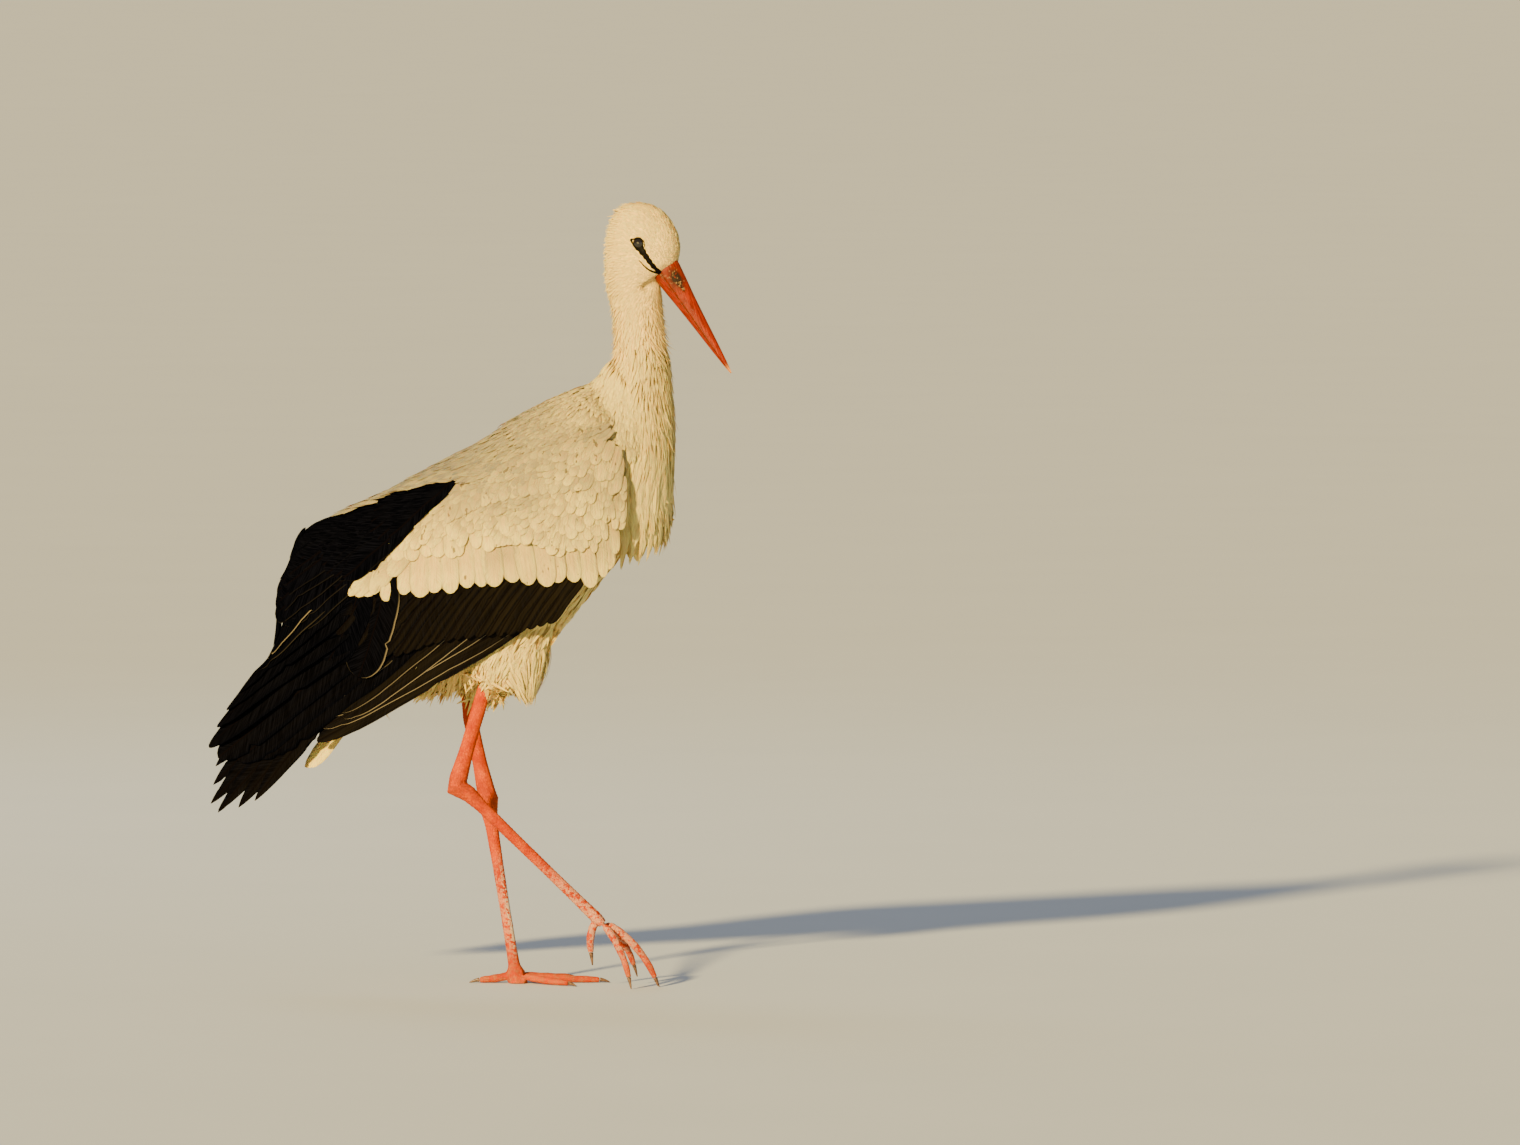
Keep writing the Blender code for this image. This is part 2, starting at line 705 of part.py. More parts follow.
def make_thigh(label, leg):
    """The feathered thigh, cut back to the trunk, ending in a flat cuff that the bare leg leaves."""
    hip, cuff, _, _ = leg_points(leg)
    shares, depths, widths = zip(*THIGH)
    path = [hip.lerp(cuff, share) for share in shares]
    rings = tube_rings(path, depths, THIGH_RING)
    widen(rings, path, depths, widths)
    plane_to(rings[-1], cuff, (cuff - hip).normalized())
    thigh = add_part("thigh_" + label, loft(rings), "plumage_white")
    cut(thigh, "trunk_grown_" + label, loft(trunk_rings(3 * GAP)))


def make_tibia(label, leg):
    """The bare shin above the ankle, swelling to its end knuckles."""
    hip, cuff, ankle, _ = leg_points(leg)
    end = ankle - (ankle - cuff).normalized() * KNUCKLE
    path = [cuff.lerp(end, share) for share, _ in TIBIA]
    rings = tube_rings(path, [TIBIA_RADIUS * radius for _, radius in TIBIA], LEG_RING)
    square_to_thigh = (cuff - hip).normalized()
    plane_to(rings[0], cuff + square_to_thigh * GAP, square_to_thigh)
    add_part("tibia_" + label, loft(rings), "leg")


def make_tarsus(label, leg):
    """The long bare foot bone, with the ankle's knob at its top."""
    _, cuff, ankle, foot = leg_points(leg)
    lean = (ankle - cuff).normalized()
    front = -LEFT.cross(foot - ankle).normalized() * leg["lead"]
    path = [ankle - lean * (KNUCKLE - GAP), ankle]
    radii = [TIBIA_RADIUS * TIBIA[-1][1], ANKLE_RADIUS]
    for share, radius in TARSUS:
        path.append(ankle.lerp(foot, share) + front * (1 - HUB_SHARE - share))
        radii.append(TARSUS_RADIUS * radius)
    rings = tube_rings(path, radii, LEG_RING)
    plane_to(rings[0], path[0], lean)
    add_part("tarsus_" + label, loft(rings), "leg")


def plane_to(ring, point, normal):
    """Moves a ring's points square onto a plane."""
    for p in ring:
        p -= normal * (p - point).dot(normal)


def toe_path(label, name, leg):
    """The toe's middle line. The left foot lies flat; the right one reaches down with its toes."""
    length, turn, radius, start = TOES[name]
    foot = Vector(leg["foot"])
    facing = math.radians(turn * -leg["side"] + leg["facing"])
    ahead = Vector((math.cos(facing), math.sin(facing), 0))
    points, place = [], foot.copy()
    for i, share in enumerate(spread(0, 1, len(TOE_SHAPE))):
        if label == "L":
            point = foot + ahead * (start + length * share)
            point.z = FLOOR + radius * (1.1 - 0.3 * share) + TOE_ARCH * (1 - share) ** 2
            points.append(point)
        else:
            droop = math.radians(TOE_DROOP[name] + TOE_CURL * share)
            step = length / (len(TOE_SHAPE) - 1) if i else start
            place = place + (ahead * math.cos(droop) - Vector((0, 0, math.sin(droop)))) * step
            points.append(place.copy())
    return points


def hub_solid(label, leg, grow=0.0):
    """The pad that the toes leave. It widens down to the sole, or on the lifted foot towards the toes."""
    _, _, ankle, foot = leg_points(leg)
    top = foot.lerp(ankle, HUB_SHARE)
    places, depths, widths = zip(*HUBS[label])
    depths = [depth + grow for depth in depths]
    path = [top + (foot - top) * place for place in places]
    rings = tube_rings(path, depths, TOE_RING, FLOOR - grow)
    widen(rings, path, depths, [width + grow for width in widths])
    return loft(rings)


def make_foot(label, leg):
    add_part("foot_" + label, hub_solid(label, leg), "leg")
    for name, (_, _, radius, _) in TOES.items():
        path = toe_path(label, name, leg)
        rings = tube_rings(path, [radius * share for share in TOE_SHAPE], TOE_RING, FLOOR)
        toe = add_part(f"toe_{name}_{label}", loft(rings), "leg")
        cut(toe, f"hub_grown_{name}_{label}", hub_solid(label, leg, 1.2 * GAP))
        make_claw(f"claw_{name}_{label}", path, radius)


def make_claw(name, path, radius):
    ahead = (path[-1] - path[-2]).normalized()
    root = path[-1] + ahead * GAP
    points, radii = [], []
    for share in (0.0, 0.35, 0.7, 1.0):
        points.append(root + ahead * CLAW_LENGTH * share - Vector((0, 0, CLAW_HOOK * share**2)))
        radii.append(radius * (0.62 - 0.46 * share))
    add_part(name, loft(tube_rings(points, radii, CLAW_RING, FLOOR)), "claw")


def make_legs():
    for label, leg in LEGS.items():
        make_thigh(label, leg)
        make_tibia(label, leg)
        make_tarsus(label, leg)
        make_foot(label, leg)


# ---------------------------------------------------------------- all of it
clear_scene()
BIRD = collection("white_stork")
CUTTERS = collection("cutters")
ROOT = bpy.data.objects.new("white_stork_root", None)
ROOT.location.x = -LEGS["L"]["foot"][0]
BIRD.objects.link(ROOT)
make_head()
make_neck()
make_trunk()
make_mantle()
make_tail()
make_plumes()
make_wings()
make_legs()
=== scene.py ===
"""The white stork's looks: a skin, coats of feathers in solid mesh, bill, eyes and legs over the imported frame.

Metres, +Z up, the bird faces +X with its right side to the camera. Places on the closed wings are given as
`s`, back and down along the wing, and `q`, up and back, square to it, both from the wing's bend.
"""

import itertools
import math
from collections import namedtuple

import bmesh
import bpy
import numpy as np
from mathutils import Matrix, Vector
from mathutils.bvhtree import BVHTree


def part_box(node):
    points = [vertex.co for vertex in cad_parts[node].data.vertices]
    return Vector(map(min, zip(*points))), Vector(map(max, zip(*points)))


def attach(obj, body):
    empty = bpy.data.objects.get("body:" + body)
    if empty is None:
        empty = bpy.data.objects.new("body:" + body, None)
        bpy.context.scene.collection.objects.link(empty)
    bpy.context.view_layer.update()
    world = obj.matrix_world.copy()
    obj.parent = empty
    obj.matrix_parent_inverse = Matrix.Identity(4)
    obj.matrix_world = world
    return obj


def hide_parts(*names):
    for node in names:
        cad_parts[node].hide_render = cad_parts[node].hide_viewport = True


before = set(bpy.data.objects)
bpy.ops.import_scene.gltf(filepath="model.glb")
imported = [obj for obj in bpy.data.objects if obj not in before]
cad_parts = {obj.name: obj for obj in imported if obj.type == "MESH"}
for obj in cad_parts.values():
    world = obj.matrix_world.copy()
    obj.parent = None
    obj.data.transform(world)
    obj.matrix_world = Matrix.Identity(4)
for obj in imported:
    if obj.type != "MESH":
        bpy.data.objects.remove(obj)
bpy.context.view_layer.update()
RNG = np.random.default_rng(7)

PITCH = math.radians(37)  # of the closed wings
BEND = np.array([0.1159, 0.0, 0.5335])  # the front end of the closed wings, where s and q are 0
AFT = np.array([-math.cos(PITCH), 0.0, -math.sin(PITCH)])
RISE = np.array([-math.sin(PITCH), 0.0, math.cos(PITCH)])
DOWN = np.array([0.0, 0.0, -1.0])
HEAD_YAW = math.radians(-24)  # towards the right side
NECK_X = 0.1315
BILL_PITCH = math.radians(55.2)  # below level
HEAD_AHEAD = np.array([math.cos(HEAD_YAW), math.sin(HEAD_YAW), 0.0])
HEAD_LEFT = np.array([-math.sin(HEAD_YAW), math.cos(HEAD_YAW), 0.0])
BILL_AHEAD = HEAD_AHEAD * math.cos(BILL_PITCH) + DOWN * math.sin(BILL_PITCH)
BILL_UP = HEAD_AHEAD * math.sin(BILL_PITCH) - DOWN * math.cos(BILL_PITCH)
BILL_BASE = np.array([NECK_X, 0.0, 0.7842]) + HEAD_AHEAD * 0.0402
BILL_LENGTH, BILL_DEPTH, BILL_WIDTH = 0.1335, 0.0335, 0.025
GAPE_SHARE = 0.42  # how much of the bill's depth is the lower half
UPWARD = -DOWN

# Envelope of the closed wings: s, top line, lower edge, half width, how much the flank curves in below.
ENVELOPE = np.array([
    (-0.0437, 0.1215, 0.0150, 0.072, 0.10),
    (0.0000, 0.1330, -0.0100, 0.088, 0.12),
    (0.0450, 0.1400, -0.0500, 0.103, 0.20),
    (0.0900, 0.1445, -0.0605, 0.109, 0.28),
    (0.1500, 0.1525, -0.0590, 0.109, 0.32),
    (0.2050, 0.1610, -0.0550, 0.103, 0.32),
    (0.2700, 0.1765, -0.0470, 0.091, 0.30),
    (0.3100, 0.1800, -0.0390, 0.081, 0.26),
    (0.3360, 0.1640, -0.0350, 0.076, 0.25),
    (0.3600, 0.1510, -0.0310, 0.070, 0.24),
    (0.3800, 0.1270, -0.0290, 0.066, 0.24),
    (0.4050, 0.1010, -0.0265, 0.061, 0.23),
    (0.4480, 0.0900, -0.0250, 0.053, 0.22),
    (0.4900, 0.0775, -0.0310, 0.044, 0.20),
    (0.5300, 0.0580, -0.0310, 0.036, 0.20),
    (0.5700, 0.0320, -0.0240, 0.030, 0.20),
])
# How round the wing's section is above and at its side, and how near its surface goes to the back's middle line.
WING_ROUND, WING_FLANK, RIDGE_TURN = 2.2, 3, 0.028

# The bib of breast plumes: height, x of its front, x of its middle line, half width.
BIB = np.array([
    (0.455, 0.1575, 0.1075, 0.046),
    (0.500, 0.1725, 0.1125, 0.056),
    (0.545, 0.1760, 0.1165, 0.062),
    (0.590, 0.1780, 0.1185, 0.058),
    (0.630, 0.1770, 0.1225, 0.047),
    (0.674, 0.1740, 0.1305, 0.037),
    (0.700, 0.1715, 0.1320, 0.033),
])


# ---------------------------------------------------------------- small tools
def table_at(table, at):
    """The table's columns at places along its first one, on smooth curves."""
    places, values = table[:, 0], table[:, 1:]
    at = np.clip(at, places[0], places[-1])
    slopes = np.gradient(values, places, axis=0)
    i = np.clip(np.searchsorted(places, at, side="right") - 1, 0, len(places) - 2)
    step = places[i + 1] - places[i]
    t = ((at - places[i]) / step)[..., None]
    h = t * t * (3 - 2 * t)
    step = step[..., None]
    found = values[i] * (1 - h) + values[i + 1] * h
    found = found + step * slopes[i] * t * (1 - t) ** 2 - step * slopes[i + 1] * t**2 * (1 - t)
    return np.moveaxis(found, -1, 0)


def unit(v):
    return v / np.maximum(np.linalg.norm(v, axis=-1, keepdims=True), 1e-12)


def ramp(x, low, high):
    """0 below low, 1 above high, smooth between."""
    t = np.clip((x - low) / (high - low), 0, 1)
    return t * t * (3 - 2 * t)


def body_place(p):
    """s and q of points."""
    d = p - BEND
    return d @ AFT, d @ RISE


def flank_at(half_width, tuck, share):
    """How far the wing's side stands out, by the share of its height."""
    return half_width * np.maximum(0, 1 - share**WING_FLANK) ** (1 / WING_ROUND) * (1 - tuck * (1 - share) ** 2)


def envelope_at(s, turn, side):
    top, low, half_width, tuck = table_at(ENVELOPE, s)
    share = 1 - turn**WING_ROUND
    q = low + share * (top - low)
    point = BEND + s[..., None] * AFT + q[..., None] * RISE
    point[..., 1] += side * flank_at(half_width, tuck, share)
    return point


def wing_surface(s, q, side, inset):
    """Points and outward normals on the closed wing of one side, moved in by inset."""
    s, q = np.broadcast_arrays(np.asarray(s, float), np.asarray(q, float))
    top, low, _, _ = table_at(ENVELOPE, s)
    turn = np.maximum(RIDGE_TURN, np.maximum(0, 1 - (q - low) / (top - low)) ** (1 / WING_ROUND))
    step = 0.004
    along = envelope_at(s + step, turn, side) - envelope_at(s - step, turn, side)
    near = np.maximum(2 * RIDGE_TURN, turn)
    around = envelope_at(s, near + 4 * step, side) - envelope_at(s, near - 4 * step, side)
    normal = unit(np.cross(along, around)) * -side
    extra = np.maximum(0, s - ENVELOPE[-1, 0])[..., None] * AFT
    return envelope_at(s, turn, side) + extra - normal * np.asarray(inset)[..., None], normal


def smooth_line(points, shares):
    """Places on a smooth line through points, by share of its length."""
    points = np.asarray(points, float)
    lengths = np.concatenate([[0], np.cumsum(np.linalg.norm(np.diff(points, axis=0), axis=1))])
    if lengths[-1] == 0:
        return np.repeat(points[:1], len(shares), axis=0)
    table = np.column_stack([lengths / lengths[-1], points])
    return table_at(table, np.asarray(shares, float)).T


# ---------------------------------------------------------------- materials
def shade(name, build, roughness=0.6, sheen=0.0, specular=0.5, subsurface=0.0):
    """A material whose nodes are made by build(tools, shader), with even values set on the shader itself."""
    made = bpy.data.materials.new(name)
    made.use_nodes = True
    shader = made.node_tree.nodes["Principled BSDF"]
    shader.inputs["Roughness"].default_value = roughness
    shader.inputs["Specular IOR Level"].default_value = specular
    shader.inputs["Sheen Weight"].default_value = sheen
    shader.inputs["Subsurface Weight"].default_value = subsurface
    shader.inputs["Subsurface Scale"].default_value = 0.004
    build(Tools(made.node_tree), shader)
    return made


class Tools:
    """Short names for the shader nodes that the materials use."""

    def __init__(self, tree):
        self.tree = tree

    def node(self, kind, inputs=(), **settings):
        """A node with its settings, and with values or links given by the name or number of its inputs."""
        made = self.tree.nodes.new("ShaderNode" + kind)
        for key, value in settings.items():
            setattr(made, key, value)
        for key, value in dict(inputs).items():
            self.put(made.inputs[key], value)
        return made

    def put(self, socket, value):
        if isinstance(value, bpy.types.NodeSocket):
            self.tree.links.new(value, socket)
        elif socket.type == "RGBA":
            socket.default_value = (*value, 1.0)
        else:
            socket.default_value = value

    def times(self, a, b, clamp=False):
        return self.node("Math", {0: a, 1: b}, operation="MULTIPLY", use_clamp=clamp).outputs[0]

    def plus(self, a, b, clamp=False):
        return self.node("Math", {0: a, 1: b}, operation="ADD", use_clamp=clamp).outputs[0]

    def away(self, value):
        """The size of a value without its sign."""
        return self.node("Math", {0: value, 1: 0.0}, operation="ABSOLUTE").outputs[0]

    def mix(self, share, a, b):
        return self.node("Mix", {0: share, 6: a, 7: b}, data_type="RGBA").outputs[2]

    def layers(self, colour, *rows):
        """A colour with others laid over it in turn. Each row has a share, its strength or None, and a colour."""
        for share, strength, over in rows:
            colour = self.mix(share if strength is None else self.times(share, strength), colour, over)
        return colour

    def window(self, value, low, high, start=0.0, end=1.0):
        """value's range from low to high, smoothly turned into start to end."""
        given = {"Value": value, "From Min": low, "From Max": high, "To Min": start, "To Max": end}
        return self.node("MapRange", given, interpolation_type="SMOOTHSTEP").outputs[0]

    def where(self, *scale):
        """Places in the object's own space, stretched along x, y and z if a scale is given."""
        place = self.node("TexCoord").outputs["Object"]
        if scale:
            place = self.node("VectorMath", {0: place, 1: scale}, operation="MULTIPLY").outputs[0]
        return place

    def uv(self, name):
        return self.node("SeparateXYZ", {0: self.node("UVMap", uv_map=name).outputs[0]}).outputs[:2]

    def noise(self, vector, scale, detail=3.0, roughness=0.55):
        given = {"Vector": vector, "Scale": scale, "Detail": detail, "Roughness": roughness}
        return self.node("TexNoise", given).outputs[0]

    def lanes(self, x, x_scale, y, y_scale, detail=3.0, roughness=0.6):
        """Noise drawn out along the lesser scaled of two directions."""
        place = self.node("CombineXYZ", {0: self.times(x, x_scale), 1: self.times(y, y_scale), 2: 0.0})
        return self.noise(place.outputs[0], 1.0, detail, roughness)

    def cells(self, vector, scale):
        """The distance to the nearest edge of a net of cells."""
        given = {"Vector": vector, "Scale": scale}
        return self.node("TexVoronoi", given, feature="DISTANCE_TO_EDGE").outputs[0]

    def marks(self, name="Feather"):
        """The four channels of a colour attribute."""
        node = self.node("Attribute", attribute_name=name)
        return (*self.node("SeparateColor", {0: node.outputs["Color"]}).outputs[:3], node.outputs["Alpha"])

    def bump(self, shader, height, distance, strength=1.0):
        given = {"Strength": strength, "Distance": distance, "Height": height}
        self.put(shader.inputs["Normal"], self.node("Bump", given).outputs[0])


def barbs(t, u, v, fine, slant=1.1):
    """Fine lines that run from a feather's shaft to its edges, towards the tip."""
    lane = t.node("Math", {0: v, 1: t.times(t.away(u), slant)}, operation="SUBTRACT").outputs[0]
    return t.lanes(lane, fine, u, 60.0, 2.0)


def white_feathers(t, shader):
    """White vanes: tone by the first channel, painted shade towards the root, a thin painted shadow at the edge, and
    a greyish painted shade by the last, which also paints shade at the roots and edges and small gap shadows.
    """
    tone, along, edge, grey_shade = t.marks()
    u, v = t.uv("Vane")
    lines = barbs(t, u, v, 1100.0)
    patch = t.noise(t.where(), 38.0)
    streaks = t.lanes(u, 420.0, v, 34.0)
    gap_shadows = t.noise(t.where(1.0, 1.0, 0.45), 150.0, 2.0)
    grey_shaded = t.window(grey_shade, 0.02, 0.05)
    root_shade = t.times(grey_shaded, t.window(tone, 0.0, 1.0, 0.25, 0.65))
    # painted shade: each vane darker towards its root, as under the feather that overlaps it; the golden tint is
    # partly the cream of the feathers, partly painted warm sunlight
    root, tip = (0.90, 0.63, 0.19), (0.99, 0.75, 0.23)
    colour = t.layers(
        t.mix(t.window(along, 0.05, 0.72), root, tip),
        (t.window(lines, 0.62, 0.30), 0.40, (0.72, 0.49, 0.16)),
        (t.window(streaks, 0.46, 0.70), 0.60, (0.54, 0.39, 0.18)),
        (t.window(patch, 0.43, 0.70), 0.60, (0.74, 0.53, 0.20)),
        (tone, 0.45, (0.74, 0.55, 0.21)),
        # greyish painted shade, as on the shaded back and the wing's front
        (grey_shade, t.window(tone, 0.0, 1.0, 0.7, 1.0), (0.150, 0.150, 0.152)),
        # painted shadow along the side edges of each vane
        (t.window(edge, 0.90, 1.0), 0.50, (0.38, 0.26, 0.09)),
        # painted shade towards the roots of the shaded feathers, where they lie under others
        (t.window(along, 0.92, 0.50), root_shade, (0.36, 0.27, 0.135)),
        # painted shadow at the edges of the shaded feathers
        (t.window(edge, 0.78, 1.0), t.times(grey_shaded, 0.5), (0.30, 0.22, 0.11)),
        # small painted shadows of gaps between the shaded feathers
        (t.times(t.window(gap_shadows, 0.67, 0.71), grey_shaded), 0.75, (0.10, 0.075, 0.045)),
    )
    t.put(shader.inputs["Base Color"], colour)
    t.put(shader.inputs["Roughness"], t.window(lines, 0.2, 0.8, 0.70, 0.86))
    t.bump(shader, t.plus(lines, streaks), 0.0014, 0.9)


def black_feathers(t, shader):
    """Black vanes: brown streaks by the first channel, a pale lower edge by the last."""
    brown, along, edge, pale = t.marks()
    u, v = t.uv("Vane")
    lines = barbs(t, u, v, 620.0)
    streaks = t.lanes(u, 300.0, v, 9.0)
    worn = t.noise(t.where(), 26.0, 4.0)
    web = t.times(t.window(edge, 0.0, 0.55, 0.35, 1.0), t.window(edge, 0.99, 0.86))
    low = t.times(t.window(edge, 0.945, 0.990), pale)
    high = t.times(t.window(edge, 0.030, 0.010), t.times(pale, 0.15))
    colour = t.layers(
        t.mix(t.window(lines, 0.35, 0.70), (0.0003, 0.0004, 0.0009), (0.0026, 0.0030, 0.0064)),
        (t.times(web, brown), t.window(streaks, 0.30, 0.70, 0.35, 1.0), (0.0150, 0.0120, 0.0072)),
        (t.window(worn, 0.5, 0.8), 0.30, (0.0040, 0.0045, 0.0080)),
        (t.plus(low, high, clamp=True), t.window(along, 0.15, 0.45), (0.20, 0.175, 0.125)),
        (t.window(t.away(u), 0.0011, 0.0005), 0.7, (0.003, 0.002, 0.002)),
    )
    t.put(shader.inputs["Base Color"], colour)
    t.put(shader.inputs["Roughness"], t.window(lines, 0.3, 0.8, 0.48, 0.66))
    t.bump(shader, t.plus(lines, t.times(streaks, 0.6)), 0.0005, 0.5)


def body_skin(t, shader):
    fine = t.noise(t.where(1.0, 1.0, 0.45), 420.0)
    soft = t.noise(t.where(), 30.0)
    colour = t.mix(t.window(fine, 0.35, 0.7), (0.84, 0.60, 0.20), (0.94, 0.70, 0.24))
    colour = t.layers(colour, (t.window(soft, 0.4, 0.7), 0.4, (0.70, 0.50, 0.23)))
    t.put(shader.inputs["Base Color"], t.mix(t.marks("Mark")[0], colour, (0.002, 0.0015, 0.0012)))
    t.bump(shader, fine, 0.0012, 0.8)


def horn_bill(t, shader):
    """Red horn, furrowed along its length, soiled and crumbly at the base, paler at the tip, with painted shade along
    the lip and the ridge.
    """
    dirt, line, tip, _ = t.marks("Mark")
    where = t.where()
    u, v = t.uv("Vane")
    streaks = t.lanes(u, 1.0, v, 1.0, 4.0)
    grain = t.noise(where, 900.0, 3.0, 0.6)
    blotch = t.noise(where, 95.0, 4.0, 0.6)
    soiled = t.times(dirt, t.window(t.noise(where, 240.0, 4.0, 0.65), 0.30, 0.46), clamp=True)
    crumbs = t.times(dirt, t.window(t.noise(where, 300.0), 0.57, 0.63), clamp=True)
    colour = t.layers(
        t.mix(t.window(streaks, 0.32, 0.70), (0.11, 0.007, 0.001), (0.29, 0.024, 0.001)),
        (t.window(blotch, 0.45, 0.75), 0.55, (0.28, 0.028, 0.001)),
        (t.window(grain, 0.58, 0.75), 0.22, (0.38, 0.056, 0.003)),
        (tip, None, (0.80, 0.36, 0.10)),
        # painted shade: darker along the lip, in the crevice between the mandibles, and along the upper ridge for its
        # shaded far side
        (line, t.window(t.noise(where, 260.0), 0.30, 0.60), (0.10, 0.025, 0.012)),
        (soiled, None, (0.020, 0.012, 0.008)),
        (crumbs, 0.6, (0.36, 0.22, 0.10)),
    )
    t.put(shader.inputs["Base Color"], colour)
    t.put(shader.inputs["Roughness"], t.window(t.plus(streaks, soiled), 0.3, 1.3, 0.30, 0.62))
    t.bump(shader, t.plus(streaks, t.times(grain, 0.5)), 0.0007, 0.6)


def scaly_leg(t, shader):
    """Orange-red scales with darker seams and ankles, lime on the shins and soil on the toes."""
    stain, joint, soil, _ = t.marks("Mark")
    where = t.where()
    seam = t.window(t.cells(t.where(1.0, 1.0, 0.72), 430.0), 0.0, 0.11)
    blotch = t.noise(where, 60.0, 4.0)
    grime = t.noise(where, 240.0, 4.0, 0.62)
    lime = t.window(t.times(grime, t.window(blotch, 0.25, 0.6, 0.85, 1.15)), 0.44, 0.56)
    between = t.node("Math", {0: 0.45, 1: t.times(seam, 0.45)}, operation="SUBTRACT").outputs[0]
    colour = t.layers(
        t.mix(t.window(blotch, 0.35, 0.70), (0.50, 0.046, 0.001), (0.72, 0.100, 0.001)),
        (t.window(grime, 0.5, 0.72), 0.5, (0.76, 0.15, 0.003)),
        (joint, t.window(grime, 0.56, 0.44), (0.36, 0.075, 0.030)),
        (between, None, (0.45, 0.038, 0.002)),
        (t.times(stain, lime), 0.85, (0.72, 0.62, 0.50)),
        (soil, t.window(grime, 0.40, 0.62), (0.30, 0.16, 0.09)),
    )
    t.put(shader.inputs["Base Color"], colour)
    t.put(shader.inputs["Roughness"], t.window(grime, 0.3, 0.7, 0.42, 0.66))
    small_seam = t.window(t.cells(where, 800.0), 0.0, 0.12)
    t.bump(shader, t.plus(t.times(seam, 0.7), t.times(small_seam, 0.3)), 0.0011, 0.8)


def claw_horn(t, shader):
    grain = t.noise(t.where(1.0, 1.0, 0.4), 700.0)
    colour = t.mix(t.window(grain, 0.35, 0.7), (0.045, 0.022, 0.015), (0.21, 0.11, 0.065))
    t.put(shader.inputs["Base Color"], colour)
    t.put(shader.inputs["Roughness"], t.window(grain, 0.3, 0.7, 0.28, 0.5))
    t.bump(shader, grain, 0.0003, 0.5)


def eyeball(t, shader):
    """A dark brown iris round a black pupil, told apart by the distance from the eye's axis."""
    far = t.marks("Mark")[0]
    spokes = t.noise(t.where(), 1500.0)
    iris = t.mix(t.window(spokes, 0.35, 0.65), (0.003, 0.002, 0.002), (0.010, 0.006, 0.004))
    colour = t.mix(t.window(far, 0.30, 0.36), (0.002, 0.002, 0.002), iris)
    t.put(shader.inputs["Base Color"], t.mix(t.window(far, 0.58, 0.66), colour, (0.006, 0.005, 0.005)))


def bare_skin(t, shader):
    wrinkles = t.noise(t.where(), 1300.0, 4.0, 0.6)
    colour = t.mix(t.window(wrinkles, 0.4, 0.7), (0.0006, 0.0005, 0.0005), (0.003, 0.0022, 0.0018))
    t.put(shader.inputs["Base Color"], colour)
    t.put(shader.inputs["Roughness"], t.window(wrinkles, 0.3, 0.7, 0.42, 0.6))
    t.bump(shader, wrinkles, 0.0004, 0.7)


def pale_floor(t, shader):
    worn = t.noise(t.where(), 3.0, 4.0)
    t.put(shader.inputs["Base Color"], t.mix(worn, (0.58, 0.67, 0.82), (0.62, 0.71, 0.86)))


WHITE = shade("white_feathers", white_feathers, sheen=0.05, specular=0.25, subsurface=0.25)
BLACK = shade("black_feathers", black_feathers, specular=0.0)
SKIN = shade("body_skin", body_skin, 0.85, specular=0.2)
BILL = shade("bill_horn", horn_bill, specular=0.10)
LEG = shade("leg_scales", scaly_leg, specular=0.04)
CLAW = shade("claw_horn", claw_horn)
EYE = shade("eyeball", eyeball, 0.16, specular=0.90)
BARE = shade("bare_black_skin", bare_skin, specular=0.08)
FLOOR = shade("pale_floor", pale_floor, 0.7)


# ---------------------------------------------------------------- meshes
def make_mesh(name, points, faces, material, smooth=None, colours=None, uvs=None, replaces=()):
    """An object from arrays. faces lists arrays of three- or four-cornered faces, and smooth has a truth for each.
    colours maps an attribute's name to a value for each point, and uvs a map's name to a place for each."""
    mesh = bpy.data.meshes.new(name)
    loops = np.concatenate([f.reshape(-1) for f in faces]).astype(np.int32)
    sizes = np.concatenate([np.full(len(f), f.shape[1]) for f in faces])
    flags = np.concatenate([np.full(len(f), flag) for f, flag in zip(faces, smooth or [True] * len(faces))])
    mesh.vertices.add(len(points))
    mesh.vertices.foreach_set("co", np.asarray(points, np.float32).reshape(-1))
    mesh.loops.add(len(loops))
    mesh.loops.foreach_set("vertex_index", loops)
    mesh.polygons.add(len(sizes))
    mesh.polygons.foreach_set("loop_start", np.concatenate([[0], np.cumsum(sizes)[:-1]]).astype(np.int32))
    mesh.update(calc_edges=True)
    mesh.polygons.foreach_set("use_smooth", flags)
    edge_of = np.empty(len(loops), np.int32)
    mesh.loops.foreach_get("edge_index", edge_of)
    crisp = np.bincount(edge_of, weights=np.repeat(~flags, sizes), minlength=len(mesh.edges)) > 0
    mesh.edges.foreach_set("use_edge_sharp", crisp)
    for key, values in (uvs or {}).items():
        layer = mesh.uv_layers.new(name=key)
        layer.data.foreach_set("uv", np.asarray(values, np.float32)[loops].reshape(-1))
    for key, values in (colours or {}).items():
        set_marks(mesh, values, key)
    mesh.validate()
    finish_piece(name, mesh, material, replaces)


def channels(*values):
    """Values of unlike shapes as the last direction of one array."""
    return np.stack(np.broadcast_arrays(*values), axis=-1)


def finish_piece(name, mesh, material, replaces=()):
    """An object of a mesh, with its material, that rides the root body and stands for CAD nodes."""
    mesh.materials.append(material)
    obj = bpy.data.objects.new(name, mesh)
    bpy.context.scene.collection.objects.link(obj)
    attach(obj, "root")
    if replaces:
        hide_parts(*replaces)


TURNED = [0, 3, 2, 1]  # a face's corners the other way round, from the same first one


def tube(index):
    """The four-cornered faces between neighbouring rows of points, each row closed to a ring."""
    a, b = index[:-1], index[1:]
    return np.stack((a, b, np.roll(b, -1, 1), np.roll(a, -1, 1)), axis=-1).reshape(-1, 4)


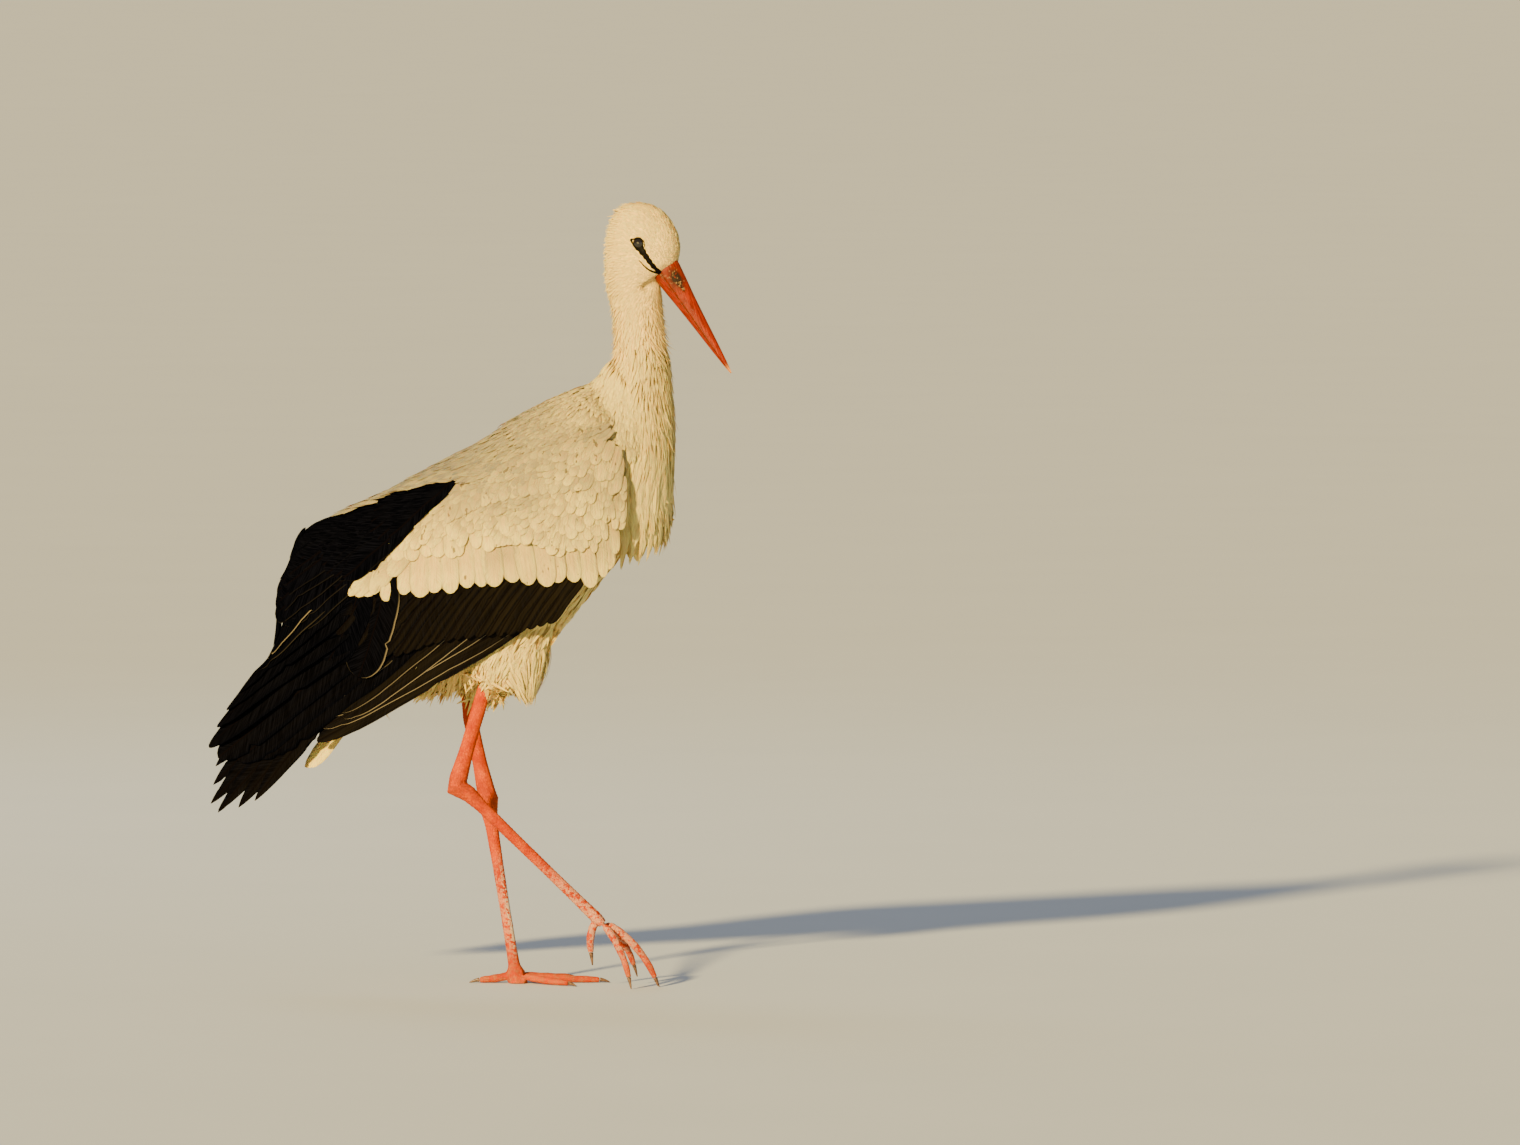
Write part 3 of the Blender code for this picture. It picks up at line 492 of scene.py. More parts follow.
def mesh_of(bm, name):
    mesh = bpy.data.meshes.new(name)
    bm.to_mesh(mesh)
    bm.free()
    return mesh


def merged(nodes, extras=()):
    """One mesh of several CAD nodes and of oval fillets, each given by its centre and three half lengths."""
    bm = bmesh.new()
    for node in nodes:
        bm.from_mesh(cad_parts[node].data)
    for centre, sizes in extras:
        place = Matrix.Translation(centre) @ Matrix.Rotation(HEAD_YAW, 4, "Z") @ Matrix.Diagonal((*sizes, 1))
        bmesh.ops.create_icosphere(bm, subdivisions=4, radius=1, matrix=place)
    return mesh_of(bm, "merged")


def remeshed(name, nodes, voxel, smoothing, grown=0.0, extras=()):
    """The mesh of several solids and fillets as one smooth closed surface."""
    obj = bpy.data.objects.new(name, merged(nodes, extras))
    bpy.context.scene.collection.objects.link(obj)
    if grown:
        swell = obj.modifiers.new("swell", "DISPLACE")
        swell.strength, swell.mid_level = grown, 0.0
    remesh = obj.modifiers.new("remesh", "REMESH")
    remesh.mode, remesh.voxel_size = "VOXEL", voxel
    soften = obj.modifiers.new("soften", "SMOOTH")
    soften.factor, soften.iterations = 0.5, smoothing
    mesh = bpy.data.meshes.new_from_object(obj.evaluated_get(bpy.context.evaluated_depsgraph_get()))
    bpy.data.objects.remove(obj)
    mesh.name = name
    mesh.polygons.foreach_set("use_smooth", [True] * len(mesh.polygons))
    return mesh


def points_of(mesh):
    """The places and normals of a mesh's points."""
    found = np.empty((2, len(mesh.vertices) * 3))
    mesh.vertices.foreach_get("co", found[0])
    mesh.vertices.foreach_get("normal", found[1])
    return found.reshape(2, -1, 3)


def set_points(mesh, points):
    mesh.vertices.foreach_set("co", points.reshape(-1))
    mesh.update()


def set_marks(mesh, marks, name="Mark"):
    layer = mesh.color_attributes.new(name, "FLOAT_COLOR", "POINT")
    layer.data.foreach_set("color", np.asarray(marks, np.float32).reshape(-1))


# ---------------------------------------------------------------- the skin
FLESH = ["head", "neck_upper", "neck_lower", "trunk", "thigh_R", "thigh_L"]


def coat_depth(p):
    """How deep the skin lies inside the solids."""
    s, _ = body_place(p)
    head = ramp(p[:, 2], 0.735, 0.775)
    body = 0.0030 + 0.0015 * ramp(-p[:, 2], -0.70, -0.60) + 0.0010 * ramp(s, 0, 0.1)
    return 0.0016 * head + (1 - head) * body


def make_skin():
    """The skin that the coats grow on, with the eye's surroundings marked as bare."""
    chin = Vector((NECK_X, 0, 0.7655)) + Vector(HEAD_AHEAD * 0.0190)
    fillets = [(chin, (0.0135, 0.0125, 0.0165))]
    fillets += [(Vector(socket_middle(side)), (0.016, 0.0062, 0.016)) for side in (-1, 1)]
    mesh = remeshed("skin", FLESH, 0.0028, 4, 0.0006, fillets)
    points, normals = points_of(mesh)
    points = points - normals * (coat_depth(points) + 0.0006)[:, None]
    set_points(mesh, points)
    marks = np.zeros((len(points), 4))
    for side in (-1, 1):
        far = np.linalg.norm(points - eye_centre(side), axis=1)
        marks[:, 0] = np.maximum(marks[:, 0], ramp(-far, -0.0082, -0.0076))
    set_marks(mesh, marks)
    finish_piece("skin", mesh, SKIN, FLESH)
    return Surface(mesh)


def socket_middle(side):
    low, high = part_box("eye_R" if side < 0 else "eye_L")
    return (np.array(low) + np.array(high)) / 2


def eye_centre(side):
    return socket_middle(side) + HEAD_AHEAD * 0.0020 + np.array([0, 0, 0.0008])


class Surface:
    """A mesh to look up the nearest place and normal on."""

    def __init__(self, mesh):
        mesh.calc_loop_triangles()
        self.points, _ = points_of(mesh)
        corners = np.empty(len(mesh.loop_triangles) * 3, np.int32)
        mesh.loop_triangles.foreach_get("vertices", corners)
        self.triangles = corners.reshape(-1, 3)
        self.tree = BVHTree.FromPolygons(self.points.tolist(), self.triangles.tolist())

    def nearest(self, places):
        found = [self.tree.find_nearest(Vector(p)) for p in places]
        return np.array([f[0] for f in found]), np.array([f[1] for f in found])

    def met(self, places, direction):
        """Where lines through the places, from outside along the direction, meet the surface."""
        found = []
        for p in places:
            hit = self.tree.ray_cast(Vector(p - direction * 0.1), Vector(direction))
            found.append(hit if hit[0] else self.tree.find_nearest(Vector(p)))
        return np.array([f[0] for f in found]), np.array([f[1] for f in found])

    def scatter(self, spacing, keep, seed):
        """Roots spread over the surface, with their normals. spacing is the gap between them, or gives it for each
        of some points. keep gives a truth for each of some points."""
        rng = np.random.default_rng(seed)
        a, b, c = (self.points[self.triangles[:, k]] for k in range(3))
        middle = (a + b + c) / 3
        cross = np.cross(b - a, c - a)
        area = np.linalg.norm(cross, axis=1) / 2
        gap = spacing(middle) if callable(spacing) else np.full(len(middle), spacing)
        tries = rng.poisson(np.where(keep(middle), 5.0 * area / gap**2, 0.0))
        index = np.repeat(np.arange(len(area)), tries)
        u, v = rng.random((2, len(index)))
        flip = u + v > 1
        u[flip], v[flip] = 1 - u[flip], 1 - v[flip]
        places = a[index] + (b - a)[index] * u[:, None] + (c - a)[index] * v[:, None]
        chosen = thin_out(places, gap[index], rng)
        return places[chosen], unit(cross)[index][chosen]


# Steps to a cell of a net and to its neighbours.
AROUND = list(itertools.product((-1, 0, 1), repeat=3))


def thin_out(places, gap, rng):
    """Which of the places to keep so that none is much nearer to a kept one than its gap."""
    cells, kept = {}, []
    keys = np.floor(places / gap.max()).astype(int)
    for i in rng.permutation(len(places)).tolist():
        x, y, z = keys[i].tolist()
        near = [j for dx, dy, dz in AROUND for j in cells.get((x + dx, y + dy, z + dz), ())]
        if near and ((places[near] - places[i]) ** 2).sum(axis=1).min() < (gap[i] * 0.9) ** 2:
            continue
        cells.setdefault((x, y, z), []).append(i)
        kept.append(i)
    return np.array(sorted(kept))


# ---------------------------------------------------------------- small feathers
# Shapes of a small feather: places along it, half widths there as shares of the widest.
SHAPES = {
    "round": ([0, 0.16, 0.38, 0.62, 0.82, 0.94], [0.35, 0.72, 0.97, 1.0, 0.80, 0.45]),
    "tongue": ([0, 0.20, 0.50, 0.78, 0.92, 0.985], [0.55, 0.85, 1.00, 0.96, 0.72, 0.34]),
    "lance": ([0, 0.18, 0.40, 0.62, 0.80, 0.92], [0.35, 0.80, 1.00, 0.80, 0.45, 0.20]),
    "loose": ([0, 0.18, 0.42, 0.66, 0.84, 0.94], [0.30, 0.75, 1.00, 0.85, 0.50, 0.25]),
}


def small_feathers(root, middle, tip, normal_root, normal_tip, width, shape, camber, roll, grey_shade=0.0, fine=False):
    """Closed three-sided vanes, one for each root: points, faces, colours and maps. camber is how much the edges
    hang, roll how much the vanes turn at random round their length, and fine leaves out the painted shadow at their
    edges."""
    count = len(root)
    along, profile = (np.array(x) for x in SHAPES[shape])
    rings = len(along)
    control = 2 * middle - (root + tip) / 2
    t = np.concatenate([along, [1.0]])[None, :, None]
    path = (1 - t) ** 2 * root[:, None] + 2 * t * (1 - t) * control[:, None] + t**2 * tip[:, None]
    tangent = unit(np.gradient(path, axis=1))
    normal = normal_root[:, None] * (1 - t) + normal_tip[:, None] * t
    normal = unit(normal - tangent * (normal * tangent).sum(-1, keepdims=True))
    side = np.cross(tangent, normal)
    turn = RNG.normal(0, roll, (count, 1, 1))
    side, normal = side * np.cos(turn) + normal * np.sin(turn), normal * np.cos(turn) - side * np.sin(turn)
    half = width[:, None, None] / 2 * profile[None, :, None]
    drop = normal[:, :-1] * half * camber
    left = path[:, :-1] - side[:, :-1] * half - drop
    right = path[:, :-1] + side[:, :-1] * half - drop
    body = np.stack([left, path[:, :-1], right], axis=2).reshape(count, rings * 3, 3)
    points = np.concatenate([body, path[:, -1:]], axis=1)
    each = rings * 3 + 1

    top, under = [], []
    for k in range(rings - 1):
        a, b = 3 * k, 3 * k + 3
        top += [(a, a + 1, b + 1, b), (a + 1, a + 2, b + 2, b + 1)]
        under.append((a + 2, a, b, b + 2))
    a, end = 3 * (rings - 1), each - 1
    tips = [(a, a + 1, end), (a + 1, a + 2, end)]
    shut = [(a + 2, a, end), (2, 1, 0)]
    shift = (np.arange(count) * each)[:, None, None]
    faces = [(np.array(f)[None] + shift).reshape(-1, len(f[0])) for f in (top, tips, under, shut)]

    ring_along = np.concatenate([np.repeat(along, 3), [1.0]])
    across = np.concatenate([np.tile([-1.0, 0.0, 1.0], rings), [0.0]])
    tone = RNG.random((count, 1)) * np.ones(each)
    # how near the edge, for the painted edge shadow, which fine feathers leave out
    rim = np.abs(across) * (0.85 if fine else 1.0)
    colours = channels(tone, ring_along, rim, np.asarray(grey_shade)[..., None])
    length = np.linalg.norm(tip - root, axis=1)[:, None]
    spread = np.concatenate([np.repeat(profile, 3), [0.0]]) * across
    vane = channels(spread * width[:, None] / 2, ring_along * length + RNG.random((count, 1)))
    return {
        "points": points.reshape(-1, 3),
        "faces": faces,
        "colours": colours.reshape(-1, 4),
        "vane": vane.reshape(-1, 2),
        "local": np.tile(np.stack([spread * 0.5 + 0.5, ring_along], axis=-1), (count, 1, 1)),
        "root": root,
    }


def bake_map(feathers, unwrap, patch=0.003):
    """Each feather as a small patch, at its root's place on an unwrap of the skin."""
    place = unwrap(feathers["root"]) * 0.99 + patch
    return (place[:, None] + feathers["local"] * patch).reshape(-1, 2)


def round_neck(p):
    """An unwrap of the head and neck: round its upright line, and up it."""
    turn = np.arctan2(p[:, 1], p[:, 0] - NECK_X) / (2 * math.pi) + 0.5
    return np.stack([turn, np.clip((p[:, 2] - 0.42) / 0.46, 0, 1)], axis=1)


def round_body(p):
    """An unwrap of the body: round its long line, and along it."""
    s, q = body_place(p)
    turn = np.arctan2(p[:, 1], q - 0.03) / (2 * math.pi) + 0.5
    return np.stack([turn, np.clip((s + 0.08) / 0.68, 0, 1)], axis=1)


def small_piece(name, feathers, unwrap, replaces=()):
    make_mesh(
        name,
        feathers["points"],
        feathers["faces"],
        WHITE,
        smooth=[True, True, False, False],
        colours={"Feather": feathers["colours"]},
        uvs={"OFBake": bake_map(feathers, unwrap), "Vane": feathers["vane"]},
        replaces=replaces,
    )


def vary(low, high, like):
    """A random factor for each of some feathers."""
    return RNG.uniform(low, high, len(like))


def laid(surface, root, normal, flow, length, lift, proud, width, sunk, *form, **more):
    """Feathers that follow the surface, with their roots sunk into it."""
    middle, tip, normal_tip = on_surface(surface, root, normal, flow, length, lift, proud)
    return small_feathers(root - normal * sunk, middle, tip, normal, normal_tip, width, *form, **more)


def on_surface(surface, root, normal, flow, length, lift_middle, lift_tip):
    """The middles, tips and tips' normals of feathers that follow the surface."""
    ahead = unit(flow - normal * (flow * normal).sum(-1, keepdims=True))
    half = length[:, None] / 2
    middle, normal_middle = surface.nearest(root + ahead * half)
    ahead = unit(ahead - normal_middle * (ahead * normal_middle).sum(-1, keepdims=True))
    tip, normal_tip = surface.nearest(middle + ahead * half)
    # past the skin's end, as under a hem, a feather goes straight on
    short = np.linalg.norm(tip - middle, axis=1) < 0.6 * half[:, 0]
    tip[short] = (middle + ahead * half)[short]
    normal_tip[short] = normal_middle[short]
    return middle + normal_middle * lift_middle[:, None], tip + normal_tip * lift_tip[:, None], normal_tip


# ---------------------------------------------------------------- head, neck and body plumage
def side_view(p):
    """Places on the head as seen from its side: ahead and up."""
    p = np.asarray(p)
    return np.stack([p @ HEAD_AHEAD, p[..., 2]], axis=-1)


def eye_band(side):
    """The bare black skin from the eye to the bill, as points on a line and half widths."""
    eye, gape = eye_centre(side), gape_corner(side)
    start = eye + HEAD_AHEAD * 0.0014 - np.array([0, 0, 0.0030])
    line = np.stack([start, eye * 0.60 + gape * 0.40, eye * 0.25 + gape * 0.75, gape])
    return line, np.array([0.0046, 0.0030, 0.0024, 0.0019])


def gape_line(side):
    """The thin black line that runs back from the corner of the mouth."""
    gape, eye = gape_corner(side), eye_centre(side)
    end = eye + DOWN * 0.0185 + HEAD_AHEAD * 0.0015
    bend = gape * 0.55 + end * 0.45 + DOWN * 0.0030
    return np.stack([gape, bend, end]), np.array([0.0011, 0.0009, 0.0004])


def gape_corner(side):
    line = BILL_BASE + BILL_UP * BILL_DEPTH * (GAPE_SHARE - 0.5)
    return line + HEAD_LEFT * side * BILL_WIDTH * 0.54


def distance_to_lines(p):
    """The distance of points from the bare lines of the face, seen from the side, less the lines' half widths."""
    best = np.full(len(p), 1.0)
    seen, left = side_view(p), (p - BILL_BASE) @ HEAD_LEFT
    for side in (-1, 1):
        eye = eye_centre(side)
        ring = np.stack([eye - HEAD_AHEAD * 0.0086 + np.array([0, 0, 0.0058]), eye])
        for line, half in ((ring, (0.0000, 0.0050)), eye_band(side), gape_line(side)):
            line = side_view(line)
            for k in range(len(line) - 1):
                a, b = line[k], line[k + 1]
                t = np.clip(((seen - a) @ (b - a)) / ((b - a) @ (b - a)), 0, 1)
                away = np.linalg.norm(seen - (a + t[:, None] * (b - a)), axis=1)
                away = np.where(left * side > 0, away, 1.0)
                best = np.minimum(best, away - (half[k] * (1 - t) + half[k + 1] * t))
    return best


def coat_flow(p):
    """Which way the small feathers lie."""
    s, _ = body_place(p)
    from_bill = unit(p - BILL_BASE)
    head = ramp(p[:, 2], 0.700, 0.775)[:, None]
    low = np.clip(1.4 * np.linalg.norm(p - BILL_BASE, axis=1)[:, None] / 0.06 - 0.5, 0, 2.2)
    on_head = unit(from_bill + DOWN * low * 0.5)
    body = ramp(s, -0.07, 0.06)[:, None]
    below = unit(DOWN * (1 - body) + AFT * body + DOWN * 0.25 * body)
    thigh = (ramp(-p[:, 2], -0.425, -0.375) * ramp(-np.abs(p[:, 0] + 0.005), -0.075, -0.04))[:, None]
    below = unit(below * (1 - thigh) + thigh * np.array([-0.35, 0.0, -0.95]))
    return unit(on_head * head + below * (1 - head))


def under_wing(p):
    """Whether a place on the skin is hidden by a closed wing or the mantle."""
    s, q = body_place(p)
    top, low, half_width, tuck = table_at(ENVELOPE, s)
    flank = flank_at(half_width, tuck, np.clip((q - low) / (top - low), 0, 1))
    return (s > 0.002) & (q > low + 0.016) & (flank - np.abs(p[:, 1]) < 0.022) | (s > 0.0) & (q > 0.06)


def make_head_coat(surface):
    def spacing(p):
        face = np.linalg.norm(p - BILL_BASE, axis=1)
        return 0.0018 + 0.0008 * ramp(face, 0.02, 0.07) + 0.0008 * ramp(-p[:, 2], -0.775, -0.70)

    def keep(p):
        off = p - BILL_BASE
        along, high, wide = off @ BILL_AHEAD, off @ BILL_UP, off @ HEAD_LEFT
        inside = (high / (BILL_DEPTH * 0.5)) ** 2 + (wide / (BILL_WIDTH * 0.5)) ** 2 < 1.0
        return (p[:, 2] > 0.675) & ~((along > 0.0015) & inside)

    root, normal = surface.scatter(spacing, keep, 11)
    face = np.linalg.norm(root - BILL_BASE, axis=1)
    flow = unit(coat_flow(root) + RNG.normal(0, 0.10, root.shape))
    size = 0.0052 + 0.0052 * ramp(face, 0.018, 0.060) + 0.0045 * ramp(-root[:, 2], -0.775, -0.69)
    length = size * vary(0.75, 1.25, root)
    clear = distance_to_lines(root) > 0.0001
    for share in (1.0, 0.75, 0.5, 0.3):
        meets = distance_to_lines(root + flow * length[:, None] * share) < -0.0003
        length = np.where(meets, length * 0.78, length)
    root, normal, flow, length, face = (values[clear] for values in (root, normal, flow, length, face))
    ahead = (root - BILL_BASE) @ HEAD_AHEAD
    nape = ramp(-ahead, 0.030, 0.050)
    throat = ramp(ahead, -0.030, -0.012) * ramp(-root[:, 2], -0.765, -0.745)
    shaggy = 0.04 + np.maximum(0.30 * nape, 0.55 * throat) + 0.12 * ramp(root[:, 2], 0.83, 0.85)
    lift = length * vary(0.04, 0.08, root)
    proud = length * shaggy * vary(0.2, 1.3, root)
    width = (0.0018 + 0.0011 * ramp(face, 0.02, 0.09)) * vary(0.8, 1.25, root)
    form = ("lance", 0.14, 0.15)
    coat = laid(surface, root, normal, flow, length, lift, proud, width, 0.0006, *form, fine=True)
    small_piece("head_coat", coat, round_neck)


def make_neck_coat(surface):
    def spacing(p):
        return 0.0024 + 0.0008 * ramp(-p[:, 2], -0.68, -0.56)

    def keep(p):
        s, _ = body_place(p)
        return (p[:, 2] <= 0.690) & (s < 0.012) & ~under_wing(p) & (p[:, 2] > 0.44)

    root, normal = surface.scatter(spacing, keep, 12)
    flow = unit(coat_flow(root) + RNG.normal(0, 0.07, root.shape))
    low = ramp(-root[:, 2], -0.68, -0.55)
    length = (0.0145 + 0.0130 * low) * vary(0.8, 1.25, root)
    lift = length * vary(0.025, 0.045, root)
    proud = length * vary(0.01, 0.06, root) ** np.where(RNG.random(len(root)) < 0.08, 0.75, 1.0)
    throat = ramp((root - BILL_BASE) @ HEAD_AHEAD, -0.026, -0.010) * ramp(root[:, 2], 0.60, 0.66)
    proud = proud + length * throat * vary(0.0, 0.30, root)
    width = (0.0030 + 0.0022 * low) * vary(0.8, 1.25, root)
    form = ("lance", 0.09, 0.08)
    coat = laid(surface, root, normal, flow, length, lift, proud, width, 0.001, *form, fine=True)
    small_piece("neck_coat", coat, round_neck)


def make_collar():
    """Feathers that run from the neck over the front edges of the back and the closed wings."""
    nodes = ["neck_upper", "neck_lower", "trunk", "mantle", "wing_coverts_R", "wing_coverts_L"]
    mesh = remeshed("outer", nodes, 0.0040, 14)
    outer = Surface(mesh)
    bpy.data.meshes.remove(mesh)

    def keep(p):
        s, q = body_place(p)
        return (s > -0.085) & (s < 0.040) & (q > 0.040 + 0.9 * np.maximum(0, s)) & (p[:, 2] < 0.690)

    root, normal = outer.scatter(0.0030, keep, 14)
    s, q = body_place(root)
    turn = (ramp(s, -0.075, 0.010) * ramp(q, 0.03, 0.09))[:, None]
    flow = unit(DOWN * (1 - turn) + AFT * turn + RNG.normal(0, 0.07, root.shape))
    length = 0.0185 * vary(0.8, 1.25, root)
    lift = 0.0018 + length * vary(0.04, 0.08, root)
    proud = 0.0010 + length * vary(0.01, 0.08, root)
    width = length * vary(0.24, 0.32, root)
    # greyish painted shade, more towards the back
    grey_shade = 0.80 * ramp(s, -0.07, 0.02)
    coat = laid(outer, root, normal, flow, length, lift, proud, width, 0.0020, "loose", 0.15, 0.12, grey_shade)
    small_piece("collar_coat", coat, round_neck)


def make_belly_coat(surface):
    """Loose feathers of the belly, thighs and the underside up to the tail, each root with three blades."""

    def keep(p):
        s, q = body_place(p)
        return ((s >= 0.0) | (p[:, 2] <= 0.45)) & ~under_wing(p) & (q < 0.05)

    root, normal = (np.repeat(values, 3, axis=0) for values in surface.scatter(0.0056, keep, 13))
    root = root + RNG.normal(0, 0.0012, root.shape)
    flow = unit(coat_flow(root) + RNG.normal(0, 0.20, root.shape))
    thigh = ramp(-root[:, 2], -0.40, -0.36)
    length = (0.027 - 0.006 * thigh) * vary(0.7, 1.3, root)
    lift = length * vary(0.06, 0.15, root)
    proud = length * vary(0.01, 0.15, root)
    s, _ = body_place(root)
    vent = ramp(s, 0.17, 0.22) * ramp(-s, -0.30, -0.26) * ramp(-normal[:, 2], 0.1, 0.5)
    hem = ramp(-root[:, 2], -0.345, -0.325)
    length = length * (1 + 0.45 * vent + 0.45 * hem)
    proud = (proud + length * vent * vary(0.15, 0.60, root)) * (1 - 0.6 * hem)
    flow = unit(flow + DOWN * hem[:, None])
    width = length * vary(0.11, 0.19, root)
    coat = laid(surface, root, normal, flow, length, lift, proud, width, 0.002, "loose", 0.3, 0.35)
    locks = [thigh_lock(surface, label) for label in ("R", "L")]
    small_piece("belly_coat", coat, round_body)
    small_piece("thigh_locks", joined(locks), round_body)


def thigh_lock(surface, label):
    """Long plumes at the front of a thigh, drawn together to a hanging point."""
    low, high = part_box(f"thigh_{label}")
    middle_y = (low.y + high.y) / 2
    aim = np.array([0.0155, middle_y, 0.3085])

    def keep(p):
        return (p[:, 2] > 0.335) & (p[:, 2] < 0.385) & (p[:, 0] > -0.010) & (np.abs(p[:, 1] - middle_y) < 0.026)

    root, normal = surface.scatter(0.0034, keep, 15)
    spread = np.linalg.norm(root - aim, axis=1)
    tip = aim + (root - aim) * RNG.uniform(0.0, 0.60, (len(root), 1)) + RNG.normal(0, 0.0024, root.shape)
    tip = tip + normal * 0.0012
    middle = root * 0.5 + tip * 0.5 + normal * (0.0030 + 0.04 * spread)[:, None]
    width = vary(0.0018, 0.0038, root)
    normal_tip = unit(normal + 0.3 * DOWN)
    return small_feathers(root - normal * 0.002, middle, tip, normal, normal_tip, width, "lance", 0.2, 0.15)


def bib_place(height, angle, inset):
    """Points and outward normals on the bib, by height and by the angle from its front."""
    front, middle, half = table_at(BIB, np.maximum(height, 0.462))
    depth = front - middle
    across, ahead = (half - inset) * np.sin(angle), middle + (depth - inset) * np.cos(angle)
    normal = unit(np.stack([np.cos(angle) / depth, np.sin(angle) / half, np.zeros(len(angle))], axis=1))
    return np.stack([ahead, across, height], axis=1), normal


def plume_rows(step, gap, top, lowest=0.512, widest=1.55):
    """Roots of plumes in rows down the bib: heights, and angles up to the widest on both sides."""
    rows = []
    for height in np.arange(top, lowest, -step):
        radius = np.interp(height, [0.5, 0.7], [0.056, 0.035])
        count = int(2 * widest * radius / gap)
        heights = height + RNG.normal(0, step * 0.35, count)
        rows.append(np.column_stack([heights, np.linspace(-widest, widest, count)]))
    height, angle = np.concatenate(rows).T
    return height, angle + RNG.normal(0, 0.03, len(angle))


def breast_layer(step, gap, top, deep, broad, shape):
    """One layer of the breast's plumes, deep under the outline by so much and broader than usual by a factor."""
    height, angle = plume_rows(step, gap, top)
    low = ramp(-height, -0.69, -0.57)
    length = (0.020 + 0.044 * low) * vary(0.85, 1.15, height)
    lock = np.round(angle * 5.0 + 0.8 * np.sin(height * 60)) / 5.0
    drift = (lock - angle) * 0.7 * low + RNG.normal(0, 0.015, len(height))
    hem = 0.474 - 0.020 * np.abs(np.sin(angle)) ** 2 + 0.22 * np.abs(lock - angle) + deep * 2.5
    end = np.maximum(height - length, hem + vary(-0.004, 0.016, height))
    loose = vary(0.0, 1.0, height)
    root, normal = bib_place(height, angle, 0.0052)
    middle, _ = bib_place((height + end) / 2, angle + drift * 0.4, 0.0016 + 0.0016 * loose + deep * 0.5)
    wave = 0.0012 * np.sin(lock * 31 + height * 55)
    ruffled = np.where(RNG.random(len(height)) < 0.05, vary(0.002, 0.006, height), 0.0) * (deep == 0)
    tip, normal_tip = bib_place(end, angle + drift, 0.0002 + 0.0014 * loose + wave - ruffled + deep)
    width = (0.0036 + 0.0052 * low) * vary(0.8, 1.2, height) * broad
    return small_feathers(root, middle, tip, normal, normal_tip, width, shape, 0.24, 0.14)


def make_breast_plumes():
    """Long pointed plumes in locks that hang over the breast, over a wider under layer."""
    under = breast_layer(0.0075, 0.0050, 0.690, 0.0040, 1.9, "round")
    outer = breast_layer(0.0044, 0.0038, 0.700, 0.0, 1.0, "lance")
    small_piece("breast_plumage", joined([under, outer]), round_neck, replaces=["breast_plumes"])


# ---------------------------------------------------------------- white feathers of the wings and back
# The line where the white of the wing ends over the black, from the front to the back: s, q.
HEM = np.array([
    (0.0020, -0.0100),
    (0.0260, -0.0330),
    (0.0500, -0.0490),
    (0.0780, -0.0570),
    (0.0945, -0.0430),
    (0.1164, -0.0265),
    (0.1415, -0.0048),
    (0.1698, 0.0124),
    (0.1995, 0.0278),
    (0.2271, 0.0459),
    (0.2561, 0.0623),
    (0.2768, 0.0806),
    (0.2974, 0.0975),
])
# The upper line of the wing's white, under the black scapulars.
UPPER = np.array([
    (-0.0400, 0.0600),
    (0.0060, 0.0840),
    (0.0600, 0.1000),
    (0.1209, 0.1229),
    (0.1588, 0.1184),
    (0.2006, 0.1086),
    (0.2327, 0.1025),
    (0.2961, 0.1007),
])


# Which way the coverts lie: places s along the hem, and degrees from the wing's long line there.
WING_LEAN = [
    (-0.03, 0.00, 0.04, 0.08, 0.14, 0.22, 0.25, 0.28, 0.30),
    (-44, -48, -55, -62, -63, -54, -46, -28, -14),
]


def hem_direction(s):
    """Which way a covert lies at a place s along the hem, as s and q parts."""
    turn = np.radians(np.interp(s, *WING_LEAN))
    return np.stack([np.cos(turn), np.sin(turn)], axis=-1)


def wing_feathers(places, directions, length, width, side, root_inset, tip_inset, shape, roll, camber, grey_shade=0.0):
    """Small feathers laid on the closed wing."""
    ends = places + directions * length[:, None]
    middles = (places + ends) / 2
    root, normal = wing_surface(*places.T, side, root_inset)
    middle, _ = wing_surface(*middles.T, side, (root_inset + tip_inset) / 2 - length * 0.02)
    tip, normal_tip = wing_surface(*ends.T, side, tip_inset)
    return small_feathers(root, middle, tip, normal, normal_tip, width, shape, camber, roll, grey_shade)


def front_shade(places):
    """The greyish painted shade of a wing feather by its place: more towards the front edge, which lies in shade."""
    return 0.06 + 0.30 * ramp(-places[:, 0], -0.030, 0.010)


def joined(parts):
    """Several sets of feathers as one."""
    faces, base = [[], [], [], []], 0
    for part in parts:
        for group, new in zip(faces, part["faces"]):
            group.append(new + base)
        base += len(part["points"])
    keys = ("points", "colours", "vane", "local", "root")
    whole = {key: np.concatenate([part[key] for part in parts]) for key in keys}
    return {**whole, "faces": [np.concatenate(group) for group in faces]}


def wing_row(ends, lean, length, *form):
    """Small feathers on the closed wing, given by where their tips lie."""
    return wing_feathers(ends - lean * length[:, None], lean, length, *form)


def above(line, places):
    """How far places on the wing lie above a line, with both given as s and q."""
    return places[:, 1] - np.interp(places[:, 0], line[:, 0], line[:, 1])


